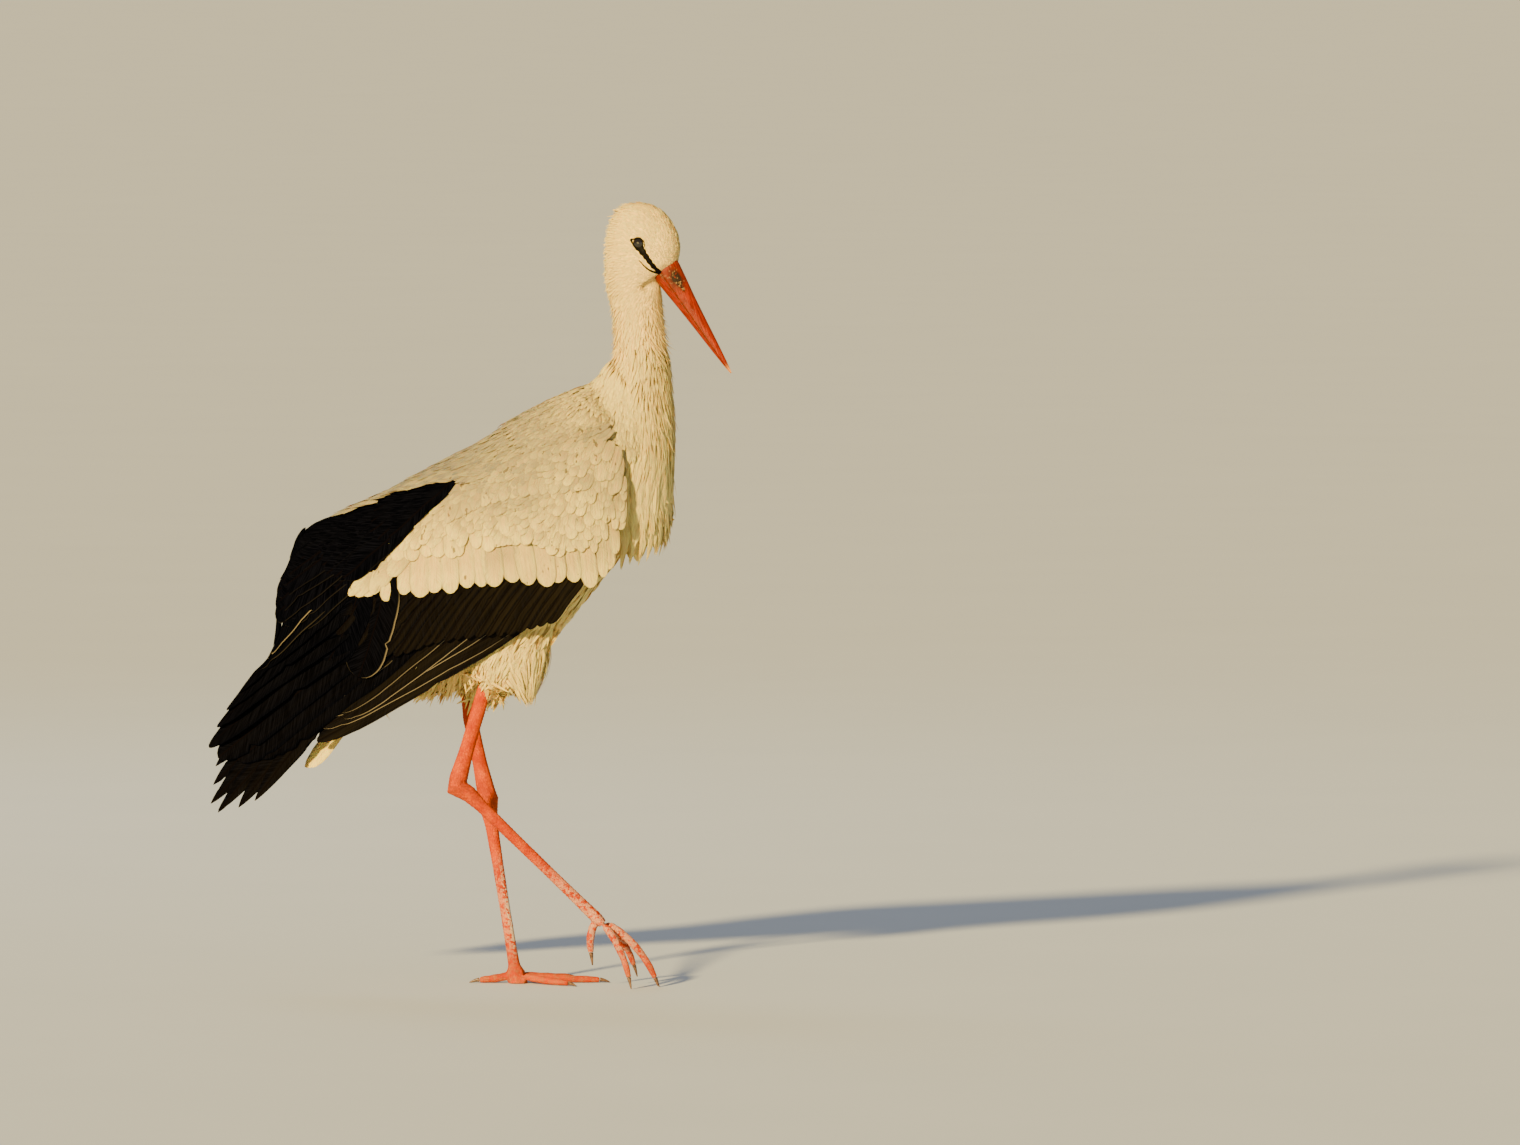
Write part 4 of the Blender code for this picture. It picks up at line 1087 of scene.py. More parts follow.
def greater_row(side, height, count, length, width, inset):
    """A row of coverts whose ends lie at a height above the hem: the lowest row makes the scalloped edge."""
    shares = (np.arange(count) + 0.5) / count + RNG.normal(0, 0.14 / count, count)
    ends = smooth_line(HEM, np.clip(shares, 0, 1))
    directions = unit(hem_direction(ends[:, 0]) + RNG.normal(0, 0.045, (count, 2)))
    short = np.interp(ends[:, 0], [0.0, 0.10], [0.45, 1.0])
    ends = ends - directions * (height * short + RNG.normal(0, 0.0027, count))[:, None]
    lengths = length * short * vary(0.92, 1.08, ends)
    narrow = np.interp(ends[:, 0], [0.02, 0.07, 0.11, 0.25, 0.30], [0.5, 0.65, 1.0, 1.0, 0.60])
    roots = ends - directions * lengths[:, None]
    root_inset = 0.0024 + inset + 0.0050 * ramp(above(UPPER, roots), -0.012, 0.002)
    tip_inset = inset + 0.0022 * ramp(above(UPPER, ends), -0.014, 0.004)
    widths = width * narrow * vary(0.85, 1.15, ends)
    tip_inset = tip_inset + RNG.normal(0, 0.0004, count)
    form = (side, root_inset, tip_inset, "tongue", 0.07, 0.10)
    # greyish painted shade, more towards the wing's front edge
    return wing_feathers(roots, directions, lengths, widths, *form, front_shade(ends))


def lesser_coverts(side):
    """Smaller feathers scattered from the rows up to the shoulder and the back."""
    grid = RNG.random((9000, 2)) * (0.345, 0.215) + (-0.048, -0.062)
    s, q = grid.T
    hem_q = np.interp(s, HEM[:, 0], HEM[:, 1], right=0.2)
    hem_q = np.where(s < HEM[0, 0], -0.005 - s, hem_q)
    upper_q = np.interp(s, UPPER[:, 0], UPPER[:, 1])
    wanted = (q > hem_q + 0.075) & (q < upper_q + 0.004) & (s > -0.030)
    front = (s < 0.085) & (q > hem_q + 0.016 + 0.55 * np.maximum(0, s)) & (q < upper_q) & (s > -0.030)
    places = grid[wanted | front]
    up = above(HEM, places) / 0.14
    chosen = thin_out(np.column_stack([places, 0 * up]), 0.0074 - 0.0030 * ramp(up, 0.35, 0.9), RNG)
    places, up = places[chosen], up[chosen]
    share = ramp(up, 0.25, 0.85)[:, None]
    lean = hem_direction(places[:, 0]) * (1 - share) + np.array([1.0, 0.0]) * share
    direction = unit(lean + RNG.normal(0, 0.05, lean.shape))
    length = (0.027 - 0.010 * ramp(up, 0.35, 0.9)) * vary(0.85, 1.15, places)
    beyond = above(UPPER, places + direction * length[:, None] * 0.65)
    inside = beyond < 0.004
    places, direction, length, beyond, up = (x[inside] for x in (places, direction, length, beyond, up))
    deeper = 0.0026 * ramp(beyond, -0.012, -0.001) * ramp(places[:, 0], 0.07, 0.11)
    roots = places - direction * length[:, None] * 0.35
    width = length * vary(0.46, 0.58, places)
    tip_inset = vary(-0.0028, -0.0010, places) + deeper
    # greyish painted shade: more at the wing's front edge and up towards the back
    grey_shade = front_shade(places) + 0.65 * ramp(up, 0.50, 0.95)
    form = (side, 0.0006 + deeper, tip_inset, "tongue", 0.08, 0.09)
    return wing_feathers(roots, direction, length, width, *form, grey_shade)


def rear_tongues(side):
    """Long tongues along the black line, down to the white's rear end."""
    ends = np.array([(0.2990, 0.0970), (0.2930, 0.0915), (0.2850, 0.0860), (0.2700, 0.0860), (0.2500, 0.0880)])
    lean = unit(np.array([(0.98, -0.18), (0.95, -0.30), (0.90, -0.44), (0.93, -0.37), (0.95, -0.30)]))
    length = np.array([0.060, 0.058, 0.052, 0.050, 0.048])
    width = np.array([0.013, 0.018, 0.020, 0.020, 0.020])
    # the last value is a faint greyish painted shade
    return wing_row(ends, lean, length, width, side, 0.0034, 0.0006, "tongue", 0.03, 0.045, 0.1)


def shoulder_seam(side):
    """A raised row whose ends make a seam across the shoulder."""
    line = [(0.0200, 0.0330), (0.0350, 0.0410), (0.0790, 0.0680), (0.1290, 0.0880), (0.1700, 0.0960)]
    seam = smooth_line(line, (np.arange(15) + 0.5) / 15)
    lean = unit(hem_direction(seam[:, 0]) * 0.6 + np.array([0.4, 0.0]))
    length = 0.030 * vary(0.85, 1.15, seam)
    width = length * vary(0.50, 0.62, seam)
    tip_inset = vary(-0.0030, -0.0021, seam)
    # the last value is a greyish painted shade
    return wing_row(seam, lean, length, width, side, 0.0004, tip_inset, "round", 0.06, 0.06, 0.45)


def make_coverts(side, label):
    """The white feathers of a closed wing."""
    parts = [
        greater_row(side, 0.000, 21, 0.066, 0.0240, -0.0002),
        greater_row(side, 0.042, 24, 0.042, 0.0175, -0.0014),
        greater_row(side, 0.061, 28, 0.034, 0.0145, -0.0018),
        lesser_coverts(side),
        rear_tongues(side),
        shoulder_seam(side),
    ]
    small_piece(f"covert_feathers_{label}", joined(parts), round_body, replaces=[f"wing_coverts_{label}"])


def ridge_place(s, aside, inset):
    """Points on the middle line of the back, moved aside and in."""
    top = table_at(ENVELOPE, s)[0] - inset
    point = BEND + s[:, None] * AFT + top[:, None] * RISE
    point[:, 1] += aside
    return point


# The mantle's lower edge: s, q.
MANTLE_EDGE = np.array([
    (-0.0500, 0.0700),
    (0.0000, 0.0830),
    (0.0600, 0.1000),
    (0.1190, 0.1245),
    (0.1600, 0.1430),
    (0.2060, 0.1612),
    (0.2500, 0.1720),
])


def mantle_side(side):
    """Pointed feathers over one side of the back."""
    s = RNG.uniform(-0.045, 0.235, 14000)
    share = RNG.random(14000)
    top = table_at(ENVELOPE, s)[0]
    low = np.interp(s + 0.024 * ramp(s, 0.09, 0.13), *MANTLE_EDGE.T) - 0.006
    # spread evenly round the back rather than in height
    q = top - (top - low) * share**2
    points, _ = wing_surface(s, q, side, 0.0)
    chosen = thin_out(points, 0.0042 + 0.0014 * ramp(s, 0.0, 0.18), RNG)
    s, q = s[chosen], q[chosen]
    rising = 0.22 * ramp(s, 0.06, 0.14) + RNG.normal(0, 0.05, len(s))
    direction = unit(np.column_stack([np.ones(len(s)), rising]))
    length = (0.018 + 0.010 * ramp(s, 0.0, 0.18)) * vary(0.85, 1.2, s)
    width = length * vary(0.30, 0.40, s)
    lift = 0.0018 * ramp(s, 0.07, 0.11)
    proud = np.where(RNG.random(len(s)) < 0.10, 0.0012, 0.0)
    tip_inset = vary(-0.0014, -0.0003, s) - lift - proud
    form = (side, 0.0014 - lift, tip_inset, "loose", 0.06, 0.08)
    # the last value is the greyish painted shade of the back
    return wing_feathers(np.column_stack([s, q]), direction, length, width, *form, mantle_shade(s))


def mantle_hem(side):
    """An even row whose pointed ends make the line over the black."""
    count = 26
    ends = smooth_line(MANTLE_EDGE[3:], (np.arange(count) + 0.5) / count) + RNG.normal(0, 0.0006, (count, 2))
    lean = unit(np.array([1.0, 0.36]) + RNG.normal(0, 0.03, (count, 2)))
    length = 0.026 * vary(0.85, 1.15, ends)
    width = length * vary(0.32, 0.42, ends)
    tip_inset = vary(-0.0036, -0.0028, ends)
    # the last value is a greyish painted shade
    return wing_row(ends, lean, length, width, side, -0.0008, tip_inset, "lance", 0.05, 0.08, 0.9)


# The greyish painted shade of the back's feathers, for its shaded upper side, more towards the rear.
def mantle_shade(s):
    return 0.78 + 0.18 * ramp(s, 0.02, 0.12)


def mantle_middle():
    """Feathers along the middle line, where the two sides meet."""
    s = np.arange(-0.045, 0.245, 0.0032)
    length = (0.020 + 0.010 * ramp(s, 0.0, 0.18)) * vary(0.85, 1.15, s)
    aside = RNG.normal(0, 0.0030, len(s))
    root, middle, tip = (ridge_place(s + length * k, aside, 0.0016 - 0.0026 * k) for k in (0.0, 0.5, 1.0))
    up = np.tile(RISE, (len(s), 1))
    # the last value is the greyish painted shade of the back
    return small_feathers(root, middle, tip, up, up, length * 0.42, "loose", 0.10, 0.10, mantle_shade(s))


def make_mantle():
    parts = []
    for side in (-1, 1):
        parts += [mantle_side(side), mantle_hem(side)]
    parts.append(mantle_middle())
    small_piece("mantle_feathers", joined(parts), round_body, replaces=["mantle"])


# ---------------------------------------------------------------- long feathers
# Places across a long feather, from one edge to the other, closer at the shaft.
ACROSS = np.array([-1.0, -0.86, -0.55, -0.24, -0.045, 0.0, 0.045, 0.24, 0.55, 0.86, 1.0])
TIPS = {  # where the tip starts to narrow, how round it is, and the half width's share at the root
    "round": (0.80, 2.0, 0.45),
    "broad": (0.72, 2.3, 0.70),
    "pointed": (0.62, 1.35, 0.5),
}
RINGS = 30  # rows of points along a long feather


def ragged_edge(share, splits):
    """How much of its half width one edge of a feather keeps along it, with some splits in the web."""
    kept = np.ones(len(share))
    for _ in range(splits):
        centre, size = RNG.uniform(0.35, 0.97), RNG.uniform(0.004, 0.012)
        kept -= RNG.uniform(0.08, 0.30) * np.exp(-(((share - centre) / size) ** 2))
    return kept - 0.025 * RNG.random(len(share))


def long_feather(path, normals, width, thick, tip, radius, rough, rings=RINGS, lower=-1, brown=0.0, pale=0.0, tilt=0):
    """One closed vane with a raised shaft along a path: top and under side on rings, colours and map. radius is
    that of its arch, lower the side of its lower edge, and tilt how steeply it rises to that edge."""
    start, power, root = TIPS[tip]
    share = 1 - (1 - np.linspace(0, 1, rings)) ** 1.5
    path, normals = smooth_line(path, share), unit(smooth_line(normals, share))
    tangent = unit(np.gradient(path, axis=0))
    normals = unit(normals - tangent * (normals * tangent).sum(-1, keepdims=True))
    side = np.cross(tangent, normals)
    round_off = np.clip((share - start) / (1 - start), 0, 1)
    half = width / 2 * (1 - round_off**power) ** (1 / power) * (root + (1 - root) * ramp(share, 0, 0.35))
    half = np.maximum(half, width * 0.012)
    edges = [ragged_edge(share, rough)[:, None] for _ in range(2)]
    trim = 1 - (1 - np.where(ACROSS < 0, *edges)) * ramp(np.abs(ACROSS), 0.5, 1.0)
    out = ACROSS * np.where(ACROSS < 0, 0.92, 1.0) * half[:, None] * trim
    shaft = 0.0004 * np.exp(-((ACROSS / 0.05) ** 2)) * (1 - share)[:, None] ** 0.5
    wave = 0.00012 * np.sin(share * 23 + RNG.uniform(0, 6))[:, None] * ACROSS
    rise = tilt * lower * out - out**2 / (2 * radius) + shaft + wave
    top = path[:, None] + side[:, None] * out[..., None] + normals[:, None] * rise[..., None]
    belly = thick * (1 - ACROSS**2) * np.minimum(1, half / (width * 0.2))[:, None]
    under = top - normals[:, None] * belly[..., None]
    colours = channels(brown, share[:, None], (1 + lower * ACROSS) / 2, pale)
    length = np.linalg.norm(np.diff(path, axis=0), axis=1).sum()
    vane = channels(out, share[:, None] * length + RNG.random())
    return top, under, colours, vane


def long_faces(rings):
    """The faces of a long feather's top, under side and ends. The under side shares its two edges with the top."""
    wide = len(ACROSS)
    top = np.arange(rings * wide).reshape(rings, wide)
    under = top.copy()
    under[:, 1:-1] = rings * wide + np.arange(rings * (wide - 2)).reshape(rings, -1)

    def quads(grid):
        return np.stack((grid[:-1, :-1], grid[:-1, 1:], grid[1:, 1:], grid[1:, :-1]), axis=-1).reshape(-1, 4)

    three, four = [], []
    for ring, step in ((0, -1), (-1, 1)):
        high, low = top[ring], under[ring]
        three.append(np.array([(high[0], high[1], low[1]), (high[-2], high[-1], low[-2])])[:, ::step])
        four.append(np.stack([high[1:-2], high[2:-1], low[2:-1], low[1:-2]], axis=1)[:, ::step])
    return [quads(top), quads(under)[:, TURNED], np.concatenate(three), np.concatenate(four)]


def both_sides(top, under):
    """Values on a long feather's top and, without its two edges, on its under side."""
    return np.concatenate([values.reshape(-1, values.shape[-1]) for values in (top, under[:, 1:-1])])


def long_piece(name, feathers, replaces, material):
    """Long feathers, given as long_feather's results, as one object."""
    rings = len(feathers[0][0])
    lanes = math.ceil(math.sqrt(len(feathers)))
    local = np.stack(np.meshgrid((ACROSS * 0.5 + 0.5) * 0.44, np.linspace(0, 0.94, rings)), axis=-1)
    points, colours, vanes, bakes = [], [], [], []
    for n, (top, under, colour, vane) in enumerate(feathers):
        points.append(both_sides(top, under))
        colours.append(both_sides(colour, colour))
        vanes.append(both_sides(vane, vane))
        # its own rectangle of the bake map
        cell = np.array([n % lanes, n // lanes]) / lanes
        bakes.append(both_sides(*(cell + (local + shift) / lanes for shift in ((0.02, 0.02), (0.50, 0.02)))))
    each = len(points[0])
    faces = [np.concatenate([kind + n * each for n in range(len(feathers))]) for kind in long_faces(rings)]
    make_mesh(
        name, np.concatenate(points), faces, material,
        smooth=[True, False, False, False],
        colours={"Feather": np.concatenate(colours)},
        uvs={"OFBake": np.concatenate(bakes), "Vane": np.concatenate(vanes)},
        replaces=replaces,
    )


# A group of long feathers on a wing. Their roots and ends lie on two lines of (s, q), from the lowest feather to
# the highest. inset is how deep the roots and the ends lie, stack how much deeper the lowest feather lies than the
# highest, bend how far the middle rises in q, rough how many splits an edge has, pale the lower edge's strength
# and brown that of the streaks.
Group = namedtuple(
    "Group",
    "count width inset stack bend rough roots ends tip pale brown",
    defaults=("round", (0.0,), (0.0,)),
)
LONG_GROUPS = [  # from the deepest to the outermost
    Group(
        count=7, width=0.026, inset=(0.0082, 0.0068), stack=-0.0014, bend=0.006, rough=4, tip="pointed",
        pale=(0.0, 0.03), brown=(0.35, 0.0),
        roots=[(0.330, 0.020), (0.350, 0.028), (0.360, 0.046)],
        ends=[(0.520, -0.024), (0.540, -0.018), (0.566, -0.003), (0.552, 0.012), (0.536, 0.034), (0.515, 0.045)],
    ),
    Group(
        count=10, width=0.026, inset=(0.0056, 0.0040), stack=0.0022, bend=-0.002, rough=2,
        pale=(0.1, 0.9, 1.0, 0.9, 0.6, 0.3, 0.1, 0.0, 0.0, 0.0), brown=(0.6, 0.4),
        roots=[(0.100, -0.050), (0.125, -0.040), (0.130, -0.030), (0.140, -0.016), (0.150, 0.004),
               (0.160, 0.030), (0.190, 0.055), (0.235, 0.076)],
        ends=[(0.425, -0.012), (0.408, 0.000), (0.398, 0.004), (0.394, 0.001), (0.390, -0.004), (0.386, -0.010),
              (0.385, 0.012), (0.350, 0.072)],
    ),
    Group(
        count=9, width=0.040, inset=(0.0044, 0.0026), stack=0.0012, bend=0.004, rough=3,
        pale=(0.0, 0.0, 0.0, 0.0, 0.0, 0.0, 0.0, 0.9), brown=(0.1, 0.0),
        roots=[(0.250, 0.010), (0.262, 0.070), (0.285, 0.138)],
        ends=[(0.488, 0.014), (0.520, 0.036), (0.530, 0.052), (0.505, 0.072), (0.455, 0.088), (0.420, 0.097)],
    ),
    Group(
        count=22, width=0.017, inset=(0.0030, 0.0014), stack=0.0006, bend=0.003, rough=1, tip="broad",
        pale=(0.04, 0.0), brown=(1.0, 0.25),
        roots=[(0.050, -0.034), (0.076, -0.020), (0.139, 0.018), (0.166, 0.031), (0.204, 0.045), (0.229, 0.068),
               (0.239, 0.095)],
        ends=[(0.142, -0.060), (0.170, -0.050), (0.235, -0.012), (0.262, 0.002), (0.300, 0.014), (0.325, 0.040),
              (0.335, 0.070)],
    ),
    Group(
        count=2, width=0.044, inset=(0.0022, 0.0004), stack=0.0006, bend=-0.004, rough=1,
        pale=(0.0, 0.7), brown=(0.0, 0.05),
        roots=[(0.268, 0.108), (0.240, 0.100)],
        ends=[(0.362, 0.052), (0.345, 0.019)],
    ),
    Group(
        count=9, width=0.034, inset=(0.0022, 0.0012), stack=-0.0012, bend=0.002, rough=2, pale=(0.05, 0.0),
        roots=[(0.205, 0.121), (0.228, 0.141), (0.252, 0.171)],
        ends=[(0.369, 0.104), (0.376, 0.115), (0.380, 0.127), (0.371, 0.140), (0.352, 0.153), (0.326, 0.168),
              (0.322, 0.178)],
    ),
    Group(
        count=8, width=0.030, inset=(0.0020, 0.0008), stack=-0.0014, bend=-0.002, rough=2, pale=(0.03, 0.0),
        roots=[(0.160, 0.130), (0.178, 0.141), (0.205, 0.162)],
        ends=[(0.292, 0.1155), (0.304, 0.127), (0.302, 0.142), (0.290, 0.156), (0.276, 0.170)],
    ),
    Group(
        count=6, width=0.022, inset=(0.0014, 0.0002), stack=-0.0012, bend=-0.001, rough=1,
        roots=[(0.116, 0.1315), (0.128, 0.138), (0.148, 0.147)],
        ends=[(0.224, 0.1215), (0.238, 0.130), (0.238, 0.140), (0.226, 0.150), (0.212, 0.162)],
    ),
]


def make_long_feathers(side, label):
    """The black feathers of a closed wing."""
    made = []
    t = np.linspace(0, 1, 9)
    for group in LONG_GROUPS:
        shares = np.linspace(0, 1, group.count)
        for share, root, end in zip(shares, smooth_line(group.roots, shares), smooth_line(group.ends, shares)):
            lane = root + (end - root) * t[:, None]
            lane[:, 1] += group.bend * np.sin(math.pi * t)
            lane[1:] += RNG.normal(0, 0.0004, (len(t) - 1, 2))
            inset = group.inset[0] + (group.inset[1] - group.inset[0]) * t + group.stack * (1 - share)
            path, normals = wing_surface(*lane.T, side, inset)
            width = group.width * RNG.uniform(0.95, 1.05)
            form = (0.0005, group.tip, 0.16, group.rough, RINGS, side)
            rows = (group.brown, group.pale)
            brown, pale = (np.interp(share, np.linspace(0, 1, len(row)), row) for row in rows)
            made.append(long_feather(path, normals, width, *form, brown, pale, 0.05 * np.sign(group.stack)))
    nodes = [f"{part}_{label}" for part in ("scapulars", "wing_secondaries", "wing_tertials", "wing_primaries")]
    long_piece(f"flight_feathers_{label}", made, nodes, BLACK)


def make_ridge():
    """Black feathers along the middle line, between the scapulars of the two sides."""
    made = []
    spans = [(0.235, 0.330), (0.262, 0.352), (0.290, 0.376), (0.315, 0.402), (0.340, 0.440)]
    for k, (start, end) in enumerate(spans):
        s = np.linspace(start, end, 9)
        path = ridge_place(s, 0.003 * (-1) ** k, 0.0030 + 0.0006 * k - 0.0020 * (s - start) / (end - start))
        slope = unit(np.gradient(path, axis=0))
        normals = unit(RISE - slope * (slope @ RISE)[:, None])
        made.append(long_feather(path, normals, 0.034, 0.0006, "round", 0.030, 1))
    long_piece("ridge_feathers", made, [], BLACK)


def make_tail():
    """White tail feathers under the wings, in a closed fan, the middle pair on top."""
    made = []
    t = np.linspace(0, 1, 7)[:, None]
    for across in np.linspace(-1, 1, 9):
        start = BEND + AFT * 0.335 + RISE * 0.004 + np.array([0, across * 0.010, 0])
        end = BEND + AFT * (0.455 - 0.006 * across**2) + RISE * -0.0260 + np.array([0, across * 0.020, 0])
        path = start * (1 - t) + end * t - RISE * 0.0012 * abs(across) * 3 * t
        normals = unit(np.tile(RISE + np.array([0, across * 1.8, 0]), (len(t), 1)))
        made.append(long_feather(path, normals, 0.022, 0.0006, "round", 0.05, 2, rings=20))
    long_piece("tail_feathers", made, ["tail"], WHITE)


# ---------------------------------------------------------------- bill, eyes and face
BILL_SHAPE = np.array([  # along, depth, width, as shares of the bill's own
    (0.000, 1.00, 1.00),
    (0.120, 0.88, 0.90),
    (0.300, 0.69, 0.72),
    (0.500, 0.51, 0.54),
    (0.700, 0.345, 0.37),
    (0.860, 0.20, 0.22),
    (0.960, 0.095, 0.10),
    (1.000, 0.040, 0.045),
])


def make_mandible(name, sign, node):
    """A horny half of the bill with its ridge, cutting edge, furrows and, above, the nostrils."""
    rings, count = 90, 36
    total = count + 3
    upper = sign > 0
    along = np.linspace(-0.045, 1.0, rings)[:, None]
    angle = np.linspace(0, math.pi, count)
    off_ridge, out, up = np.abs(angle - math.pi / 2), np.cos(angle), np.sin(angle)
    depth, width = table_at(BILL_SHAPE, np.maximum(along[:, 0], 0.0))[..., None]
    height = (1 - GAPE_SHARE if upper else GAPE_SHARE) * depth * BILL_DEPTH
    gape = BILL_DEPTH * (GAPE_SHARE - 0.5) * (1 - np.maximum(along, 0))
    lip = np.exp(-((up / 0.16) ** 2))
    furrow = np.exp(-(((off_ridge - 0.62) / 0.10) ** 2))
    reach = ramp(along, 0.10, 0.16) * (1 - ramp(along, 0.45, 0.62))
    nostril = np.zeros((rings, count))
    if upper:
        for mirror in (-1, 1):
            off = angle - (math.pi / 2 + mirror * 0.86)
            nostril += np.exp(-((off / 0.10) ** 2) - (((along - 0.185) / 0.045) ** 2) ** 2)
    deep = 0.0009 * nostril + 0.00035 * furrow * reach
    y = out * (width * BILL_WIDTH / 2) * (1 - 0.10 * up**2) - np.sign(out) * deep * np.abs(out)
    y += np.sign(out) * 0.0004 * lip * (1 - ramp(along, 0.8, 1.0))
    z = up**0.92 * height * (0.97 + 0.03 * np.exp(-(((angle - math.pi / 2) / 0.20) ** 2))) - deep * up
    place = BILL_BASE + BILL_AHEAD * (BILL_LENGTH * along)
    arc = place[:, None] + HEAD_LEFT * y[..., None] + BILL_UP * (gape + sign * (z + 0.0002))[..., None]
    floor = place + BILL_UP * (gape + sign * 0.0006)
    floor = floor[:, None] + HEAD_LEFT * (y[:, :1] * np.array([-0.6, 0.0, 0.6]))[..., None]
    ring = np.concatenate([arc, floor], axis=1)
    middles = np.stack([ring[-1].mean(0) + BILL_AHEAD * 0.0008, ring[0].mean(0)])
    points = np.concatenate([ring.reshape(-1, 3), middles])
    index = np.arange(rings * total).reshape(rings, total)
    first, last = index[0], index[-1]
    front = np.stack([last, np.roll(last, -1), np.full(total, rings * total)], axis=1)
    back = np.stack([np.roll(first, -1), first, np.full(total, rings * total + 1)], axis=1)
    ends = np.concatenate([front, back])
    faces = [tube(index)[:, TURNED], ends] if upper else [tube(index), ends[:, ::-1]]

    # soiled at the base and in the nostrils, painted shade along the lip and the ridge, pale at the tip
    around = np.concatenate([angle, np.zeros(3)])
    base = np.exp(-(((along - 0.02) / 0.05) ** 2))
    smear = np.exp(-(((along - 0.105) / 0.075) ** 2) - (((np.abs(around - math.pi / 2) - 0.92) / 0.45) ** 2))
    soiled = np.concatenate([nostril, np.zeros((rings, 3))], axis=1) * 1.4
    dirt = np.clip(soiled + (1.5 * smear + 0.15 * base if upper else 0.35 * base), 0, 1.4)
    # painted shade along the lip and, on the upper half, along the ridge
    rim = np.concatenate([lip, np.ones(3)]) * ramp(-along, -0.95, -0.55)
    if upper:
        rim = rim + 0.85 * np.exp(-(((around - math.pi / 2) / 0.24) ** 2)) * ramp(-along, -0.92, -0.75)
    marks = channels(dirt, rim * 0.95, ramp(along, 0.90, 1.0) * 0.8, 1.0)
    vane = channels(along * 9.0, around * (2.2 + 5.5 * (1 - along)))
    marks, vane = (np.concatenate([x.reshape(-1, x.shape[-1]), x[-1, -1:], x[0, :1]]) for x in (marks, vane))
    make_mesh(name, points, faces, BILL, colours={"Mark": marks}, uvs={"Vane": vane}, replaces=[node])


EYE_RADIUS = 0.0066


def make_eye(surface, side, label):
    """A glossy eyeball inside a thin wrinkled lid."""
    low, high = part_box(f"eye_{label}")
    out = unit(HEAD_LEFT * side + HEAD_AHEAD * 0.16 + np.array([0, 0, 0.05]))
    up = unit(UPWARD - out * out[2])
    ahead = np.cross(out, up) * side
    centre = eye_centre(side) + out * ((high.z - low.z) / 2 * 0.98 - EYE_RADIUS * 1.05 - 0.0012)
    make_eyeball(centre, out, up, ahead, side, label)
    make_eyelid(surface, centre, out, up, ahead, side, label)


def make_eyeball(centre, out, up, ahead, side, label):
    rings, count = 25, 40
    polar = np.linspace(0, math.pi * 0.75, rings + 1)[1:]
    around = np.linspace(0, 2 * math.pi, count, endpoint=False)
    bulge = 1 + 0.05 * np.exp(-((polar / 0.42) ** 2))
    flat = np.sin(polar)[:, None, None] * (np.cos(around)[:, None] * ahead + np.sin(around)[:, None] * up)[None]
    ball = centre + EYE_RADIUS * bulge[:, None, None] * (flat + np.cos(polar)[:, None, None] * out)
    ends = [centre + out * EYE_RADIUS * 1.05, centre - out * EYE_RADIUS * 0.7]
    points = np.concatenate([ball.reshape(-1, 3), ends])
    index = np.arange(rings * count).reshape(rings, count)
    front = np.stack([np.full(count, len(points) - 2), index[0], np.roll(index[0], -1)], axis=1)
    back = np.stack([np.full(count, len(points) - 1), np.roll(index[-1], -1), index[-1]], axis=1)
    faces = [kind[:, ::-side] for kind in (tube(index), np.concatenate([front, back]))]
    far = np.concatenate([np.repeat(np.sin(np.minimum(polar, math.pi / 2)), count), [0.0, 1.0]])
    marks = channels(far, far, far, 1.0)
    make_mesh(f"eyeball_{label}", points, faces, EYE, colours={"Mark": marks}, replaces=[f"eye_{label}"])


def make_eyelid(surface, centre, out, up, ahead, side, label):
    """A ring of bare skin that is drawn out to a corner behind."""
    turn = np.linspace(0, 2 * math.pi, 64, endpoint=False)
    before, behind = np.maximum(0, np.cos(turn)), np.maximum(0, -np.cos(turn))
    x = (0.0054 + 0.0006 * before**3 + 0.0024 * behind**6) * np.cos(turn)
    z = 0.0053 * np.sin(turn) + 0.0032 * behind**5 - 0.0016 * before**3
    rows = []
    for grow, rise in ((0.90, -0.0010), (0.92, 0.0006), (1.0, 0.0010), (1.10, 0.0006)):
        flat = ahead * (x * grow)[:, None] + up * (z * grow)[:, None]
        reach = np.sqrt(np.maximum(EYE_RADIUS**2 - (flat**2).sum(1), (0.30 * EYE_RADIUS) ** 2))
        rows.append(centre + flat + out * (reach + rise)[:, None])
    for grow, rise in ((1.14, 0.0012), (1.26, 0.0006), (1.36, -0.0012)):
        place, normal = surface.met(centre + ahead * (x * grow)[:, None] + up * (z * grow)[:, None], -out)
        rows.append(place + normal * rise)
    grid = np.stack([*rows, rows[0] - out * 0.002])
    index = np.arange(grid.shape[0] * grid.shape[1]).reshape(grid.shape[:2])
    faces = tube(np.concatenate([index, index[:1]]))[:, ::-side]
    make_mesh(f"eyelid_{label}", grid.reshape(-1, 3), [faces], BARE)


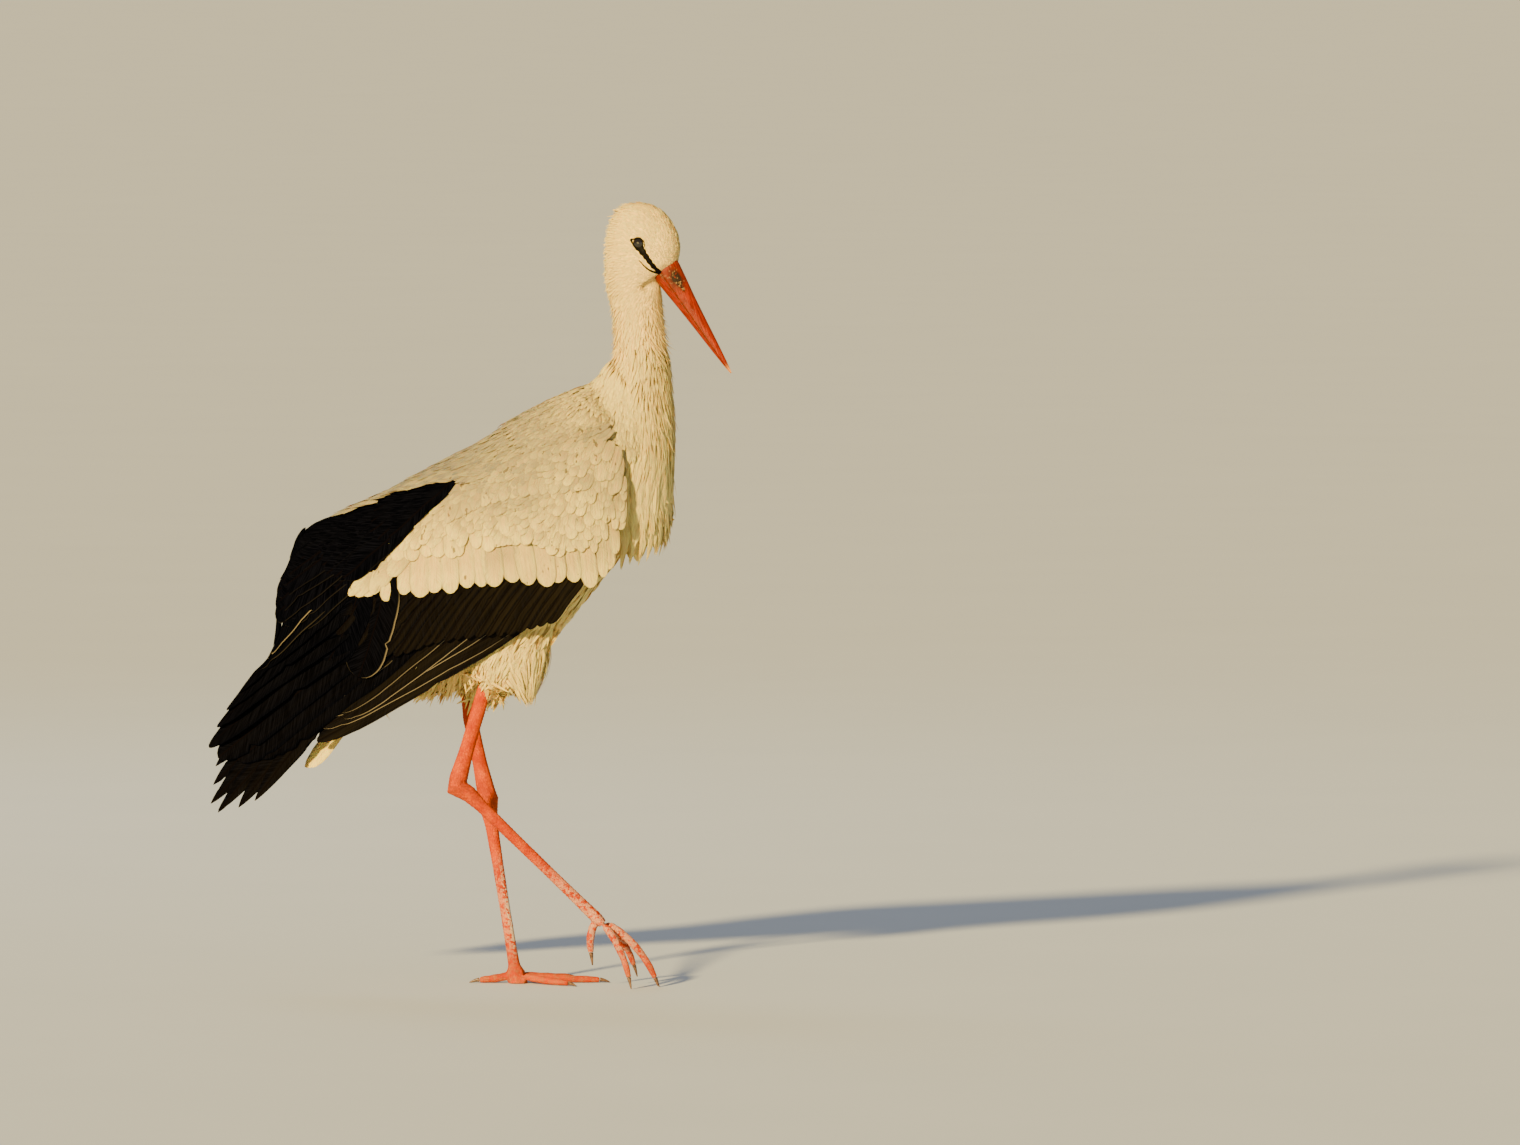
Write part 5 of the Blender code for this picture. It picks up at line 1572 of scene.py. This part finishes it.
def make_bare_lines(surface, side, label):
    """Thin raised strips of black skin: from the eye to the bill and behind the mouth's corner."""
    points, faces, start, wide = [], [], 0, 7
    for line, half in (eye_band(side), gape_line(side)):
        share = np.linspace(0, 1, 40)
        lengths = np.concatenate([[0], np.cumsum(np.linalg.norm(np.diff(line, axis=0), axis=1))])
        width = np.interp(share, lengths / lengths[-1], half) * (1 + 0.14 * np.sin(share * 37))
        path, normal = surface.met(smooth_line(line, share), HEAD_LEFT * -side)
        sideways = np.cross(unit(np.gradient(path, axis=0)), normal)
        across = np.linspace(-1, 1, wide)[None, :, None]
        lift = 0.0009 * (1 - across**2) + 0.0009
        top = path[:, None] + sideways[:, None] * (width[:, None, None] * across) + normal[:, None] * lift
        under = top[:, ::-1] - normal[:, None] * 0.0022
        ring = np.concatenate([top, under], axis=1)
        index = start + np.arange(ring.shape[0] * ring.shape[1]).reshape(ring.shape[:2])
        start += index.size
        faces.append(tube(index)[:, TURNED])
        for end, step in ((index[0], -1), (index[-1], 1)):
            high, low = end[:wide], end[: wide - 1 : -1]
            faces.append(np.stack([high[:-1], low[:-1], low[1:], high[1:]], axis=1)[:, ::step])
        points.append(ring.reshape(-1, 3))
    make_mesh(f"face_lines_{label}", np.concatenate(points), [np.concatenate(faces)], BARE)


# ---------------------------------------------------------------- legs
def make_leg(label):
    """A scaly leg with its toes, and the horn of its claws."""
    digits = ("inner", "middle", "outer", "hind")
    nodes = [f"tibia_{label}", f"tarsus_{label}", f"foot_{label}", *(f"toe_{name}_{label}" for name in digits)]
    mesh = remeshed(f"leg_{label}", nodes, 0.0011, 5, grown=0.00035)
    points, normals = points_of(mesh)
    height, front = points[:, 2], normals[:, 0]
    scute, step, sunk = 0.0034, 0.00016, 0.00030
    ripple = step * np.sin(height * 2 * math.pi / scute) * ramp(height, 0.02, 0.04)
    points = points + normals * (ripple - sunk)[:, None]
    points[:, 2] = np.maximum(points[:, 2], 0.0)
    set_points(mesh, points)
    ankle_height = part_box(f"tarsus_{label}")[1].z - 0.012
    ankle = np.exp(-(((height - ankle_height) / 0.016) ** 2))
    lime = ramp(-height, -0.150, -0.095) * ramp(height, 0.015, 0.05)
    lime = lime * (0.50 if label == "R" else 0.35 + 0.65 * ramp(front, -0.1, 0.5))
    soil = ramp(-height, -0.075, -0.01) * 0.5
    set_marks(mesh, channels(lime, ankle * 0.6, soil, 1.0))
    finish_piece(f"leg_skin_{label}", mesh, LEG, nodes)
    claws = [f"claw_{name}_{label}" for name in digits]
    mesh = remeshed(f"claws_{label}", claws, 0.0005, 3, grown=0.0002)
    finish_piece(f"claw_horn_{label}", mesh, CLAW, claws)


# ---------------------------------------------------------------- floor, light and camera
def placed(name, data, location=(0, 0, 0), rotation=(0, 0, 0)):
    """An object with its data, place and turn, in the scene."""
    obj = bpy.data.objects.new(name, data)
    obj.location, obj.rotation_euler = location, rotation
    bpy.context.scene.collection.objects.link(obj)
    return obj


def lamp(name, kind, place, aim, power, colour, **form):
    data = bpy.data.lights.new(name, kind)
    data.energy, data.color = power, colour
    for key, value in form.items():
        setattr(data, key, value)
    placed(name, data, place, (Vector(aim) - Vector(place)).to_track_quat("-Z", "Y").to_euler())


def make_studio():
    """A wide pale floor, even warm light from around, a low sun, two soft lamps and a far camera."""
    bm = bmesh.new()
    bmesh.ops.create_circle(bm, cap_ends=True, segments=96, radius=220)
    mesh = mesh_of(bm, "floor")
    mesh.materials.append(FLOOR)
    placed("floor", mesh, (0, 0, -0.0004))

    world = bpy.data.worlds.new("studio")
    world.use_nodes = True
    background = world.node_tree.nodes["Background"]
    background.inputs["Color"].default_value = (1.0, 0.96, 0.88, 1)
    background.inputs["Strength"].default_value = 0.27
    bpy.context.scene.world = world

    middle = (0.0, 0.0, 0.5)
    lamp("key", "SUN", (0, 0, 0), (2.6, 4.9, -2.1), 11.0, (1.0, 0.70, 0.25), angle=math.radians(4))
    lamp("fill", "AREA", (3.4, -3.6, 1.8), middle, 12, (1.0, 0.95, 0.90), shape="DISK", size=2.6)
    lamp("back", "AREA", (-1.6, 3.4, 3.2), middle, 30, (0.90, 0.95, 1.0), shape="DISK", size=2.2)

    data = bpy.data.cameras.new("camera")
    data.lens, data.sensor_width, data.clip_end = 400, 36, 600
    away, rise = 18.58, math.radians(3)
    aim = Vector((0.26985, 0.0, 0.45275))
    place = aim + Vector((0, -away * math.cos(rise), away * math.sin(rise)))
    bpy.context.scene.camera = placed("camera", data, place, (math.radians(90) - rise, 0, 0))


# ---------------------------------------------------------------- all of it
surface = make_skin()
make_head_coat(surface)
make_neck_coat(surface)
make_collar()
make_belly_coat(surface)
make_breast_plumes()
for side, label in ((-1, "R"), (1, "L")):
    make_coverts(side, label)
    make_long_feathers(side, label)
    make_eye(surface, side, label)
    make_bare_lines(surface, side, label)
make_mantle()
make_ridge()
make_tail()
make_mandible("upper_mandible", 1, "bill_upper")
make_mandible("lower_mandible", -1, "bill_lower")
for label in ("R", "L"):
    make_leg(label)
make_studio()
